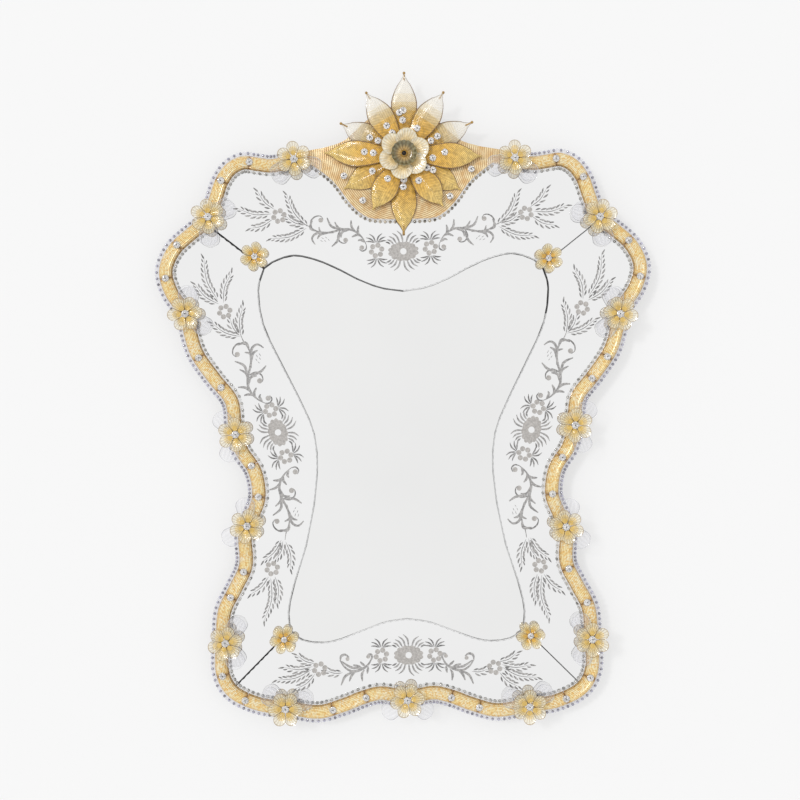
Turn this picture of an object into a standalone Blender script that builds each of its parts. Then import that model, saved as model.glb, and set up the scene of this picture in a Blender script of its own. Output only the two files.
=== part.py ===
"""Wall mirror with engraved border plates, a gold-glass frame, glass flowers and a pointed crest.

Metres, +Z up. The mirror faces -Y and hangs on a wall at Y = 0. The origin is the middle of the
wall cleat's rear face, behind the crest. Run with: blender --background --python part.py
"""
import bpy
import bmesh
import math
from mathutils import Vector

MM = 0.001
SMALL = 1e-6

# Frame outline. The free outline is drawn on a sheet and brought to these real sizes.
FRAME_HALF_WIDTH = 434 * MM      # middle of the gold strip at its widest, from the axis
FRAME_DROP = 970 * MM            # cleat centre down to the lowest middle of the gold strip
SHEET_HALF_WIDTH = 434.0
SHEET_DROP = 970.0

# Depths, from the wall outwards
GAP = 0.3 * MM                   # clearance between pieces that touch
CLEAT_DEPTH = 12 * MM
BOARD_DEPTH = 16 * MM
PLATE_DEPTH = 4 * MM
BAR_DEPTH = 12 * MM
PANEL_DEPTH = 6 * MM
EDGING_DEPTH = 4 * MM

# Widths along the frame
BAR_WIDTH = 25 * MM
BOARD_LEDGE = 9 * MM             # board beyond the middle of the gold strip
PLATE_LEDGE = 4 * MM             # mirror plates beyond the middle of the gold strip
OUTER_EDGING_REACH = 9 * MM      # clear edging beyond the gold strip
INNER_EDGING_REACH = 8 * MM
CREST_EDGING_REACH = 7 * MM
BAR_SHOULDER = 1.5 * MM          # how far the strip's sides lean in
BAR_SIDE_DEPTH = 7 * MM          # height of the strip's sides
OUTLINE_TOLERANCE = 0.9 * MM     # how far a straight run may leave the smooth outline

# Mirror plates
SEAM = 2.0 * MM                  # gap between the centre plate and the border plates
JOINT = 2.0 * MM                 # gap between neighbouring border plates
PLATE_BEVEL = 1.2 * MM

# Hanging parts on the back
CLEAT_LENGTH = 300 * MM
CLEAT_HEIGHT = 60 * MM
SPACER_LENGTH = 300 * MM
SPACER_HEIGHT = 40 * MM
SPACER_RISE = 120 * MM           # spacer centre above the lowest middle of the frame

# Frame flowers
FLOWER_HUB = 5 * MM
FLOWER_BUTTON = 7.5 * MM
FLOWER_BUTTON_DEPTH = 7 * MM
PETALS = 6
PETAL_SWING = math.radians(50)   # rim points of a petal, from its tip
PETAL_RADIUS = 11.5 * MM         # each petal is a round scoop
PETAL_CENTRE = 20.5 * MM         # from the flower's middle
PETAL_THICKNESS = 2 * MM
PETAL_CUP = 5 * MM               # how far the petal tips come forward
LEAF_REACH = 55 * MM
LEAF_WIDTH = 35 * MM
LEAF_THICKNESS = 2 * MM
LEAF_BULGE = 1.5 * MM
LEAF_SPLAY = math.radians(31)    # from the frame's direction
# Width of a leaf along its length: (share of length, share of width)
LEAF_WIDTHS = ((0.04, 0.2), (0.42, 0.82), (0.76, 1.0), (1.0, 0.34))
CROWN_TAPER = 0.72               # width of a button's top, as a share of its foot
BAR_END_CLEARANCE = 8 * MM       # gold strip ends this far from a flower's middle

# Corner flowers
CORNER_PETAL_RADIUS = 9 * MM
CORNER_PETAL_CENTRE = 17.5 * MM
CORNER_BUTTON = 6.8 * MM
CORNER_STANDOFF = 5 * MM
# On the sheet, in mm: upper left, upper right, lower left, lower right
CORNER_PLACES = ((-271, -136), (266, -145), (-224, -836), (226, -834))
CORNER_TURNS = (20, 35, 10, 5)   # degrees

# Crest
CREST_HEIGHT = 45 * MM           # middle of the crest flower above the origin
CREST_SHIFT = 4 * MM             # the crest flower sits a little right of the axis
CREST_ROOT = 12 * MM
CREST_PETAL_WIDTH = 48 * MM
CREST_PETAL_THICKNESS = 2.5 * MM
CREST_ARCH = 4 * MM              # how far a crest petal's edges bend back
CREST_FRONT_LIFT = 4.5 * MM      # extra lift of the petals that lie in front
CREST_FLOWER_RADIUS = 20 * MM
CREST_FLOWER_CENTRE = 27 * MM
CREST_FLOWER_CUP = 7 * MM
CREST_FLOWER_TURN = math.radians(20)
CREST_BOSS = 0.5 * MM            # flat middle of the crest flower, above its petals
CREST_CUP_RADIUS = 23 * MM
CREST_CUP_DEPTH = 12 * MM
CREST_CUP_WALL = 3 * MM
CREST_CUP_BASE = 2 * MM
CREST_CUP_FLOOR = 5.5 * MM       # depth of the cup's inner floor above its base
CREST_CUP_SIDES = 12
CREST_NAIL_RADIUS = 4 * MM
CREST_NAIL_DEPTH = 6 * MM

# Depths of the faces, as distances from the wall
BOARD_BACK = CLEAT_DEPTH + GAP
BOARD_FRONT = BOARD_BACK + BOARD_DEPTH
PLATE_BACK = BOARD_FRONT + GAP
PLATE_FRONT = PLATE_BACK + PLATE_DEPTH
TRIM_BACK = PLATE_FRONT + GAP
BAR_FRONT = TRIM_BACK + BAR_DEPTH
PANEL_FRONT = TRIM_BACK + PANEL_DEPTH

# Middle line of the gold strip on the sheet, in mm: from the top of the crest, out along the
# shoulder and down one side to the middle of the bottom
FRAME_LINE = (
    (0, 126), (38, 114), (70, 87), (98, 63), (130, 51), (160, 45), (201, 38), (236, 30),
    (265, 33), (290, 36), (313, 25), (330, 2), (342, -32), (356, -68), (388, -94), (418, -122),
    (434, -160), (424, -200), (397, -240), (390, -275), (377, -315), (346, -360), (316, -400),
    (310, -450), (299, -490), (275, -528), (268, -575), (281, -612), (294, -645), (293, -700),
    (312, -742), (333, -785), (337, -840), (338, -895), (318, -932), (270, -955), (222, -961),
    (165, -970), (120, -959), (80, -944), (45, -937), (0, -947),
)
# Edge of the centre plate on the sheet: top edge, side and bottom edge, parted by its corners
PLATE_TOP = ((0, -202), (40, -196), (80, -181), (120, -160), (160, -143), (200, -135),
             (235, -145), (254, -158))
PLATE_SIDE = ((254, -158), (264, -188), (264, -218), (260, -245), (250, -278), (220, -340),
              (190, -400), (167, -455), (160, -510), (164, -570), (173, -625), (186, -680),
              (205, -738), (215, -785), (213, -820))
PLATE_BOTTOM = ((213, -820), (192, -837), (158, -843), (125, -838), (80, -821), (40, -807),
                (0, -801))
# Lower edge of the crest panel on the sheet, from the frame to the middle
PANEL_LINE = ((166, 31), (142, 14), (125, -1), (113, -16), (104, -30), (94, -42), (79, -57),
              (62, -67), (45, -70), (22, -71), (0, -71))
# Outer ends of the border plates' joints on the sheet
UPPER_JOINT = (360, -75)
LOWER_JOINT = (325, -932)

# Flowers along the half line, as shares of its length, and how far each is turned (degrees)
LEFT_SHARES = (0.127, 0.254, 0.380, 0.5206, 0.6243, 0.7528, 0.868)
RIGHT_SHARES = (0.1325, 0.259, 0.385, 0.5143, 0.629, 0.7528, 0.868)
LEFT_TURNS = (35, 35, 5, 35, 20, 15, 0)
RIGHT_TURNS = (32, 15, 50, 25, 42, 30, 28)
BOTTOM_TURN = 10
LEAF_SIDES = (-1, -1, -1, 1, 1, -1, -1)     # -1: leaves lean over the mirror, 1: outwards
BOTTOM_LEAF_SIDE = 1
# The sixth flower on the left is pinned off the middle of the strip
LEFT_SET_IN = (0, 0, 0, 0, 0, 7 * MM, 0)
RIGHT_SET_IN = (0, 0, 0, 0, 0, 0, 0)

# Crest petals: direction in degrees, length to the tip and whether it lies in front
CREST_LEAVES = ((152.8, 130 * MM, False), (120.8, 133 * MM, True), (89.4, 151 * MM, False),
                (57.1, 135 * MM, True), (25.2, 139 * MM, False))
CREST_PETALS = ((178, 146 * MM, True), (208.4, 126 * MM, False), (239.7, 116 * MM, True),
                (269.2, 143 * MM, False), (306.8, 118 * MM, True), (328, 121 * MM, False),
                (358.4, 142 * MM, True))
# A crest petal along its length: (share of length, share of width, share of lift)
CREST_SHAPE = ((0.0, 0.16, 0.0), (0.28, 0.72, 0.95), (0.60, 1.0, 1.0), (0.85, 0.52, 0.85),
               (1.0, 0.0, 0.7))


def clear_scene():
    for item in list(bpy.data.objects):
        bpy.data.objects.remove(item, do_unlink=True)


def make_material(name, colour, roughness, metallic=0.0):
    mat = bpy.data.materials.new(name)
    mat.use_nodes = True
    shader = mat.node_tree.nodes["Principled BSDF"]
    shader.inputs["Base Color"].default_value = (*colour, 1.0)
    shader.inputs["Roughness"].default_value = roughness
    shader.inputs["Metallic"].default_value = metallic
    return mat


def on_sheet(point):
    """A sheet point in mm as a real (x, z) in metres."""
    return (point[0] / SHEET_HALF_WIDTH * FRAME_HALF_WIDTH, point[1] / SHEET_DROP * FRAME_DROP)


def smooth_line(points, steps=8):
    """A Catmull-Rom curve through the points."""
    line = []
    padded = [points[0], *points, points[-1]]
    for a, b, c, d in zip(padded, padded[1:], padded[2:], padded[3:]):
        for k in range(steps):
            t = k / steps
            line.append(tuple(
                0.5 * (2 * b[i] + (c[i] - a[i]) * t
                       + (2 * a[i] - 5 * b[i] + 4 * c[i] - d[i]) * t ** 2
                       + (3 * b[i] - a[i] - 3 * c[i] + d[i]) * t ** 3)
                for i in (0, 1)))
    line.append(points[-1])
    return line


def half_line(points):
    return smooth_line([on_sheet(p) for p in points])


def mirrored(line):
    return [(-x, z) for x, z in line]


def across(half):
    """A right-hand half line that starts on the axis, carried over to the left as well."""
    return mirrored(half)[::-1] + half[1:]


def around(half):
    """A half line from the axis to the axis, closed with its mirror image."""
    return across(half)[:-1]


def through_bottom(right, left):
    """Down the right-hand half line to the axis and up the mirrored left-hand one."""
    return right + mirrored(left)[::-1][1:]


def direction_at(line, i):
    a = Vector(line[max(i - 1, 0)])
    b = Vector(line[min(i + 1, len(line) - 1)])
    return (b - a).normalized()


def offset_line(half, distance):
    """The half line moved outwards, away from the mirror's middle."""
    moved = []
    for i, (x, z) in enumerate(half):
        d = direction_at(half, i)
        if abs(x) < SMALL:
            # On the axis the line meets its mirror image, so it moves straight up or down
            d = Vector((math.copysign(1, d.x), 0))
        moved.append((x - d.y * distance, z + d.x * distance))
    return moved


def line_lengths(line):
    lengths = [0.0]
    for a, b in zip(line, line[1:]):
        lengths.append(lengths[-1] + math.dist(a, b))
    return lengths


def point_at(line, lengths, s):
    """Point and direction at the distance s along the line."""
    for i in range(len(line) - 1):
        if lengths[i + 1] >= s or i == len(line) - 2:
            t = (s - lengths[i]) / (lengths[i + 1] - lengths[i])
            a, b = Vector(line[i]), Vector(line[i + 1])
            return a.lerp(b, t), direction_at(line, i)


def stretch(line, start, end):
    """The part of the line between two distances along it."""
    lengths = line_lengths(line)
    inside = [p for p, s in zip(line, lengths) if start < s < end]
    first = tuple(point_at(line, lengths, start)[0])
    last = tuple(point_at(line, lengths, end)[0])
    return [first, *inside, last]


def thinned(line, tolerance=OUTLINE_TOLERANCE):
    """Fewer points, none of the dropped ones further than the tolerance from the rest."""
    if len(line) < 3:
        return list(line)
    a, b = Vector(line[0]), Vector(line[-1])
    chord = b - a
    best, where = 0.0, 0
    for i in range(1, len(line) - 1):
        p = Vector(line[i]) - a
        t = max(0.0, min(1.0, p.dot(chord) / max(chord.length_squared, 1e-12)))
        away = (p - chord * t).length
        if away > best:
            best, where = away, i
    if best <= tolerance:
        return [line[0], line[-1]]
    return thinned(line[:where + 1], tolerance)[:-1] + thinned(line[where:], tolerance)


def kept_side(line, point, normal):
    """The part of an open line on the side of a straight cut that the normal points to."""
    kept = []
    for a, b in zip(line, line[1:]):
        da = (Vector(a) - point).dot(normal)
        db = (Vector(b) - point).dot(normal)
        if da >= 0:
            kept.append(a)
        if da * db < 0:
            t = da / (da - db)
            kept.append((a[0] + (b[0] - a[0]) * t, a[1] + (b[1] - a[1]) * t))
    if (Vector(line[-1]) - point).dot(normal) >= 0:
        kept.append(line[-1])
    return kept


def add_object(name, bm, material, smooth=None):
    bmesh.ops.recalc_face_normals(bm, faces=bm.faces)
    mesh = bpy.data.meshes.new(name)
    bm.to_mesh(mesh)
    bm.free()
    mesh.materials.append(material)
    if smooth is not None:
        mesh.shade_smooth()
        mesh.set_sharp_from_angle(angle=math.radians(smooth))
    thing = bpy.data.objects.new(name, mesh)
    bpy.context.scene.collection.objects.link(thing)
    return thing


def slab(name, outline, back, front, material, bevel=0.0):
    """A flat plate with the given (x, z) outline between two distances from the wall."""
    bm = bmesh.new()
    verts = [bm.verts.new((x, -back, z)) for x, z in outline]
    face = bm.faces.new(verts)
    grown = bmesh.ops.extrude_face_region(bm, geom=[face])
    moved = [v for v in grown["geom"] if isinstance(v, bmesh.types.BMVert)]
    bmesh.ops.translate(bm, verts=moved, vec=(0, back - front, 0))
    if bevel:
        rim = [e for e in bm.edges
               if all(abs(v.co.y + front) < SMALL for v in e.verts)]
        bmesh.ops.bevel(bm, geom=rim, offset=bevel, affect='EDGES', segments=1,
                        profile=0.5, material=-1)
    return add_object(name, bm, material)


def swept(name, line, profile, material, smooth=None):
    """A bar along an (x, z) line; the profile is (offset outwards, distance from the wall)."""
    bm = bmesh.new()
    rings = []
    for i, (x, z) in enumerate(line):
        d = direction_at(line, i)
        ring = [bm.verts.new((x - d.y * side, -depth, z + d.x * side))
                for side, depth in profile]
        rings.append(ring)
    count = len(profile)
    for a, b in zip(rings, rings[1:]):
        for k in range(count):
            bm.faces.new((a[k], a[(k + 1) % count], b[(k + 1) % count], b[k]))
    bm.faces.new(rings[0])
    bm.faces.new(rings[-1][::-1])
    return add_object(name, bm, material, smooth)


def make_back(frame_half, wood):
    board = offset_line(frame_half, BOARD_LEDGE)
    slab("backboard", around(board), BOARD_BACK, BOARD_FRONT, wood)

    bm = bmesh.new()
    top, low = CLEAT_HEIGHT / 2, -CLEAT_HEIGHT / 2
    corners = ((0, top), (CLEAT_DEPTH, top), (CLEAT_DEPTH, low + CLEAT_DEPTH), (0, low))
    end = bm.faces.new([bm.verts.new((-CLEAT_LENGTH / 2, -y, z)) for y, z in corners])
    grown = bmesh.ops.extrude_face_region(bm, geom=[end])
    moved = [v for v in grown["geom"] if isinstance(v, bmesh.types.BMVert)]
    bmesh.ops.translate(bm, verts=moved, vec=(CLEAT_LENGTH, 0, 0))
    add_object("wall_cleat", bm, wood)

    middle = SPACER_RISE - FRAME_DROP
    half, rise = SPACER_LENGTH / 2, SPACER_HEIGHT / 2
    slab("lower_spacer", [(-half, middle - rise), (half, middle - rise),
                          (half, middle + rise), (-half, middle + rise)],
         0, CLEAT_DEPTH, wood)


def make_mirrors(frame_half, glass):
    top = thinned(half_line(PLATE_TOP))
    side = thinned(half_line(PLATE_SIDE))
    bottom = thinned(half_line(PLATE_BOTTOM))
    centre = top[:-1] + side[:-1] + bottom
    slab("mirror_centre", around(centre), PLATE_BACK, PLATE_FRONT, glass, PLATE_BEVEL)

    outer = offset_line(frame_half, PLATE_LEDGE)
    inner = offset_line(centre, SEAM)
    cuts = []
    for outside, corner in ((UPPER_JOINT, PLATE_TOP[-1]), (LOWER_JOINT, PLATE_BOTTOM[0])):
        a, b = Vector(on_sheet(outside)), Vector(on_sheet(corner))
        along = (a - b).normalized()
        up = Vector((-along.y, along.x))
        if up.y < 0:
            up = -up
        cuts.append((a, up))
    (upper, upper_up), (lower, lower_up) = cuts
    top_outer = kept_side(outer, upper + upper_up * JOINT / 2, upper_up)
    top_inner = kept_side(inner, upper + upper_up * JOINT / 2, upper_up)
    slab("mirror_top", across(top_outer) + across(top_inner)[::-1],
         PLATE_BACK, PLATE_FRONT, glass)

    low_outer = kept_side(outer, lower - lower_up * JOINT / 2, -lower_up)
    low_inner = kept_side(inner, lower - lower_up * JOINT / 2, -lower_up)
    slab("mirror_bottom",
         through_bottom(low_outer, low_outer) + through_bottom(low_inner, low_inner)[::-1],
         PLATE_BACK, PLATE_FRONT, glass)

    side_outer = kept_side(outer, upper - upper_up * JOINT / 2, -upper_up)
    side_outer = kept_side(side_outer, lower + lower_up * JOINT / 2, lower_up)
    side_inner = kept_side(inner, upper - upper_up * JOINT / 2, -upper_up)
    side_inner = kept_side(side_inner, lower + lower_up * JOINT / 2, lower_up)
    right = side_outer + side_inner[::-1]
    slab("mirror_right", right, PLATE_BACK, PLATE_FRONT, glass)
    slab("mirror_left", mirrored(right), PLATE_BACK, PLATE_FRONT, glass)


def bar_profile():
    half = BAR_WIDTH / 2
    shoulder = half - BAR_SHOULDER
    return ((-half, TRIM_BACK), (half, TRIM_BACK), (shoulder, TRIM_BACK + BAR_SIDE_DEPTH),
            (0, BAR_FRONT), (-shoulder, TRIM_BACK + BAR_SIDE_DEPTH))


def make_bars(frame_half, gold):
    total = line_lengths(frame_half)[-1]
    for side, shares in (("left", LEFT_SHARES), ("right", RIGHT_SHARES)):
        stations = [share * total for share in shares] + [total]
        for k, (a, b) in enumerate(zip(stations, stations[1:])):
            run = stretch(frame_half, a + BAR_END_CLEARANCE, b - BAR_END_CLEARANCE)
            if side == "left":
                run = mirrored(run)[::-1]
            swept(f"gold_bar_{side}_{k + 1}", run, bar_profile(), gold, 50)


def make_edgings(frame_half, clear):
    total = line_lengths(frame_half)[-1]
    start_left = LEFT_SHARES[0] * total
    start_right = RIGHT_SHARES[0] * total
    left = stretch(frame_half, start_left, total)
    right = stretch(frame_half, start_right, total)
    path = through_bottom(right, left)
    middle = BAR_WIDTH / 2
    board = PLATE_BACK
    seat = PLATE_LEDGE + GAP
    swept("outer_edging", path,
          ((seat, board), (middle + OUTER_EDGING_REACH, board + EDGING_DEPTH / 2),
           (seat, board + EDGING_DEPTH)), clear)
    inner_start = middle + GAP
    swept("inner_edging", path,
          ((-inner_start, TRIM_BACK), (-inner_start, TRIM_BACK + EDGING_DEPTH),
           (-inner_start - INNER_EDGING_REACH, TRIM_BACK)), clear)


def ring_points(bm, centre, depth, spots):
    return [bm.verts.new((centre[0] + r * math.cos(a), -depth, centre[1] + r * math.sin(a)))
            for r, a in spots]


def petal_spots(radius, reach_to_middle):
    """Outline of a ring of round petals: for each petal its notch and three rim points."""
    step = math.tau / PETALS
    half = reach_to_middle * math.sin(step / 2)
    notch = reach_to_middle * math.cos(step / 2) + math.sqrt(max(radius ** 2 - half ** 2, 0))
    spots = []
    for k in range(PETALS):
        middle = k * step
        spots.append((notch, middle - step / 2))
        for turn in (-PETAL_SWING, 0, PETAL_SWING):
            x = reach_to_middle + radius * math.cos(turn)
            y = radius * math.sin(turn)
            spots.append((math.hypot(x, y), middle + math.atan2(y, x)))
    return spots


def flower_bmesh(centre, turn, foot, hub, neck, radius, petal_middle, cup, button, button_depth,
                 thickness):
    """One ring of round scoop petals on a hub that stands at the depth named foot."""
    bm = bmesh.new()
    step = math.tau / PETALS
    notches = [turn + (k - 0.5) * step for k in range(PETALS)]
    rim = petal_spots(radius, petal_middle)
    reach = radius + petal_middle
    foot_ring = ring_points(bm, centre, foot, [(hub, a) for a in notches])
    neck_ring = ring_points(bm, centre, neck, [(hub, a) for a in notches])
    back, front = [], []
    for r, a in rim:
        depth = neck + cup * ((r - hub) / (reach - hub)) ** 2
        back += ring_points(bm, centre, depth, [(r, a + turn)])
        front += ring_points(bm, centre, depth + thickness, [(r, a + turn)])
    inner = ring_points(bm, centre, neck + thickness + GAP, [(button, a) for a in notches])
    crown = ring_points(bm, centre, neck + thickness + button_depth,
                        [(button * CROWN_TAPER, a) for a in notches])
    bm.faces.new(foot_ring)
    bm.faces.new(crown[::-1])
    for k in range(PETALS):
        n = (k + 1) % PETALS
        bm.faces.new((foot_ring[k], foot_ring[n], neck_ring[n], neck_ring[k]))
        bm.faces.new((inner[k], inner[n], crown[n], crown[k]))
        for ring, edge in ((neck_ring, back), (inner, front)):
            spots = [edge[(4 * k + j) % len(edge)] for j in range(5)]
            bm.faces.new((ring[k], spots[0], spots[1]))
            bm.faces.new((ring[k], spots[1], spots[2]))
            bm.faces.new((ring[k], spots[2], ring[n]))
            bm.faces.new((ring[n], spots[2], spots[3]))
            bm.faces.new((ring[n], spots[3], spots[4]))
    for j in range(len(rim)):
        n = (j + 1) % len(rim)
        bm.faces.new((back[j], back[n], front[n], front[j]))
    bmesh.ops.recalc_face_normals(bm, faces=bm.faces)
    return bm


def leaf_bmesh(centre, angle, back):
    """A long round-ended leaf that starts inside the hub and lies under the petals."""
    bm = bmesh.new()
    along = Vector((math.cos(angle), math.sin(angle)))
    side = Vector((-along.y, along.x))
    backs, fronts = [], []
    for share, width in LEAF_WIDTHS:
        middle = Vector(centre) + along * LEAF_REACH * share
        half = side * LEAF_WIDTH / 2 * width
        for ring, depth, spots in ((backs, back, (-1, 1)), (fronts, back + LEAF_THICKNESS,
                                                             (-1, 0, 1))):
            row = []
            for s in spots:
                p = middle + half * s
                lift = LEAF_BULGE if s == 0 else 0.0
                row.append(bm.verts.new((p.x, -depth - lift, p.y)))
            ring.append(row)
    for a, b in zip(backs, backs[1:]):
        bm.faces.new((a[0], a[1], b[1], b[0]))
    for a, b in zip(fronts, fronts[1:]):
        bm.faces.new((a[0], a[1], b[1], b[0]))
        bm.faces.new((a[1], a[2], b[2], b[1]))
    for i in range(len(backs) - 1):
        bm.faces.new((backs[i][0], backs[i + 1][0], fronts[i + 1][0], fronts[i][0]))
        bm.faces.new((backs[i][1], backs[i + 1][1], fronts[i + 1][2], fronts[i][2]))
    for i in (0, -1):
        bm.faces.new((backs[i][0], backs[i][1], fronts[i][2], fronts[i][1], fronts[i][0]))
    bmesh.ops.recalc_face_normals(bm, faces=bm.faces)
    return bm


def fuse(name, shapes, material, smooth=None):
    """One solid from several overlapping closed shapes."""
    scratch = []
    for k, bm in enumerate(shapes):
        mesh = bpy.data.meshes.new(f"{name}_{k}")
        bm.to_mesh(mesh)
        bm.free()
        thing = bpy.data.objects.new(f"{name}_{k}", mesh)
        bpy.context.scene.collection.objects.link(thing)
        scratch.append(thing)
    base = scratch[0]
    for other in scratch[1:]:
        join = base.modifiers.new("join", 'BOOLEAN')
        join.operation = 'UNION'
        join.object = other
    bpy.context.view_layer.update()
    solid = base.evaluated_get(bpy.context.evaluated_depsgraph_get())
    result = bmesh.new()
    result.from_mesh(solid.to_mesh())
    solid.to_mesh_clear()
    for thing in scratch:
        bpy.data.objects.remove(thing, do_unlink=True)
    return add_object(name, result, material, smooth)


def frame_flower(name, centre, direction, leaf_side, turn, clear):
    """Six petals and two leaves; the leaves lean to one side of the frame's direction."""
    neck = BAR_FRONT + GAP + LEAF_THICKNESS + LEAF_BULGE + GAP
    petals = flower_bmesh(centre, turn, TRIM_BACK, FLOWER_HUB, neck, PETAL_RADIUS,
                          PETAL_CENTRE, PETAL_CUP, FLOWER_BUTTON, FLOWER_BUTTON_DEPTH,
                          PETAL_THICKNESS)
    outward = math.atan2(direction.x, -direction.y)
    toward = outward if leaf_side > 0 else outward + math.pi
    shapes = [petals]
    for end in (-1, 1):
        angle = toward + end * (math.pi / 2 - LEAF_SPLAY)
        shapes.append(leaf_bmesh(centre, angle, BAR_FRONT + GAP))
    fuse(name, shapes, clear, 40)


def make_frame_flowers(frame_half, clear):
    lengths = line_lengths(frame_half)
    sides = (("left", LEFT_SHARES, LEFT_TURNS, LEFT_SET_IN),
             ("right", RIGHT_SHARES, RIGHT_TURNS, RIGHT_SET_IN))
    for side, shares, turns, set_in in sides:
        for k, share in enumerate(shares):
            spot, d = point_at(frame_half, lengths, share * lengths[-1])
            spot = spot - Vector((-d.y, d.x)) * set_in[k]
            if side == "left":
                spot, d = Vector((-spot.x, spot.y)), Vector((d.x, -d.y))
            frame_flower(f"flower_{side}_{k + 1}", spot, d, LEAF_SIDES[k],
                         math.radians(turns[k]), clear)
    frame_flower("flower_bottom", Vector(frame_half[-1]), Vector((-1, 0)), BOTTOM_LEAF_SIDE,
                 math.radians(BOTTOM_TURN), clear)


def make_corner_flowers(clear):
    for k, place in enumerate(CORNER_PLACES):
        bm = flower_bmesh(on_sheet(place), math.radians(CORNER_TURNS[k]),
                          TRIM_BACK, FLOWER_HUB, TRIM_BACK + CORNER_STANDOFF,
                          CORNER_PETAL_RADIUS, CORNER_PETAL_CENTRE, PETAL_CUP, CORNER_BUTTON,
                          FLOWER_BUTTON_DEPTH, PETAL_THICKNESS)
        add_object(f"corner_flower_{k + 1}", bm, clear, 40)


def make_crest_panel(frame_half, gold, clear):
    lengths = line_lengths(frame_half)
    ends = [share * lengths[-1] - BAR_END_CLEARANCE for share in (LEFT_SHARES[0],
                                                                  RIGHT_SHARES[0])]
    lower = thinned(half_line(PANEL_LINE))
    sides = []
    for end in ends:
        top = stretch(frame_half, 0, end)
        edge = offset_line(top, BAR_WIDTH / 2)
        under = [p for p in offset_line(top, -BAR_WIDTH / 2) if p[0] > lower[0][0]]
        sides.append(edge + under[::-1] + lower)
    left, right = sides
    slab("crest_panel", mirrored(left)[::-1] + right[1:-1], TRIM_BACK, PANEL_FRONT, gold)

    swept("crest_edging", through_bottom(lower, lower),
          ((GAP, TRIM_BACK), (GAP, TRIM_BACK + EDGING_DEPTH),
           (GAP + CREST_EDGING_REACH, TRIM_BACK)), clear)


def crest_petal(name, degrees, length, in_front, material):
    """A pointed petal whose root lies flat; its edges bend back and its tip is sharp."""
    centre = Vector((CREST_SHIFT, CREST_HEIGHT))
    angle = math.radians(degrees)
    along = Vector((math.cos(angle), math.sin(angle)))
    side = Vector((-along.y, along.x))
    seat = PANEL_FRONT + GAP
    lift = CREST_ARCH
    if in_front:
        seat += CREST_PETAL_THICKNESS + GAP
        lift += CREST_FRONT_LIFT
    bm = bmesh.new()
    rows = []
    for share, width, rise in CREST_SHAPE:
        middle = centre + along * (CREST_ROOT + (length - CREST_ROOT) * share)
        row = []
        for thick in (0.0, CREST_PETAL_THICKNESS):
            for s in (-1, 0, 1) if width else (0,):
                p = middle + side * CREST_PETAL_WIDTH / 2 * width * s
                depth = seat + rise * (lift - CREST_ARCH * s * s) + thick
                row.append(bm.verts.new((p.x, -depth, p.y)))
        rows.append(row)
    for a, b in zip(rows, rows[1:-1]):
        for i, j in ((0, 1), (1, 2), (3, 4), (4, 5), (0, 3), (2, 5)):
            bm.faces.new((a[i], a[j], b[j], b[i]))
    a, (back, front) = rows[-2], rows[-1]
    for i, j, tip in ((0, 1, back), (1, 2, back), (3, 4, front), (4, 5, front)):
        bm.faces.new((a[i], a[j], tip))
    bm.faces.new((a[0], a[3], front, back))
    bm.faces.new((a[2], a[5], front, back))
    root = rows[0]
    bm.faces.new((root[0], root[1], root[2], root[5], root[4], root[3]))
    add_object(name, bm, material, 40)


def make_crest(gold, clear, milky, olive):
    for k, (degrees, length, in_front) in enumerate(CREST_LEAVES):
        crest_petal(f"crest_leaf_{k + 1}", degrees, length, in_front, clear)
    for k, (degrees, length, in_front) in enumerate(CREST_PETALS):
        crest_petal(f"crest_petal_{k + 1}", degrees, length, in_front, gold)

    centre = (CREST_SHIFT, CREST_HEIGHT)
    petal_top = (PANEL_FRONT + GAP + 2 * (CREST_PETAL_THICKNESS + GAP)
                 + CREST_ARCH + CREST_FRONT_LIFT)
    flower = flower_bmesh(centre, CREST_FLOWER_TURN, PANEL_FRONT + GAP, CREST_ROOT - GAP,
                          petal_top, CREST_FLOWER_RADIUS, CREST_FLOWER_CENTRE,
                          CREST_FLOWER_CUP, CREST_ROOT, CREST_BOSS, PETAL_THICKNESS)
    add_object("crest_flower", flower, milky, 40)

    seat = petal_top + PETAL_THICKNESS + CREST_BOSS + GAP
    profile = ((CREST_ROOT * CROWN_TAPER, 0.0),
               (CREST_CUP_RADIUS * CROWN_TAPER, CREST_CUP_BASE),
               (CREST_CUP_RADIUS, CREST_CUP_DEPTH),
               (CREST_CUP_RADIUS - CREST_CUP_WALL, CREST_CUP_DEPTH),
               (2 * CREST_NAIL_RADIUS, CREST_CUP_FLOOR),
               (CREST_NAIL_RADIUS, CREST_CUP_FLOOR + CREST_NAIL_DEPTH))
    bm = bmesh.new()
    turns = [k * math.tau / CREST_CUP_SIDES for k in range(CREST_CUP_SIDES)]
    rings = [ring_points(bm, centre, seat + rise, [(r, a) for a in turns])
             for r, rise in profile]
    for a, b in zip(rings, rings[1:]):
        for k in range(CREST_CUP_SIDES):
            n = (k + 1) % CREST_CUP_SIDES
            bm.faces.new((a[k], a[n], b[n], b[k]))
    bm.faces.new(rings[0])
    bm.faces.new(rings[-1][::-1])
    add_object("crest_centre", bm, olive, 50)


def main():
    clear_scene()
    wood = make_material("stained_wood", (0.10, 0.07, 0.05), 0.6)
    mirror = make_material("mirror_glass", (0.85, 0.86, 0.86), 0.03, 1.0)
    gold = make_material("gold_glass", (0.72, 0.48, 0.16), 0.25)
    clear = make_material("clear_glass", (0.85, 0.82, 0.76), 0.1)
    milky = make_material("milky_glass", (0.86, 0.82, 0.70), 0.25)
    olive = make_material("olive_glass", (0.33, 0.29, 0.18), 0.2)

    frame_half = thinned(half_line(FRAME_LINE))
    make_back(frame_half, wood)
    make_mirrors(frame_half, mirror)
    make_bars(frame_half, gold)
    make_edgings(frame_half, clear)
    make_frame_flowers(frame_half, clear)
    make_corner_flowers(clear)
    make_crest_panel(frame_half, gold, clear)
    make_crest(gold, clear, milky, olive)


main()
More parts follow.
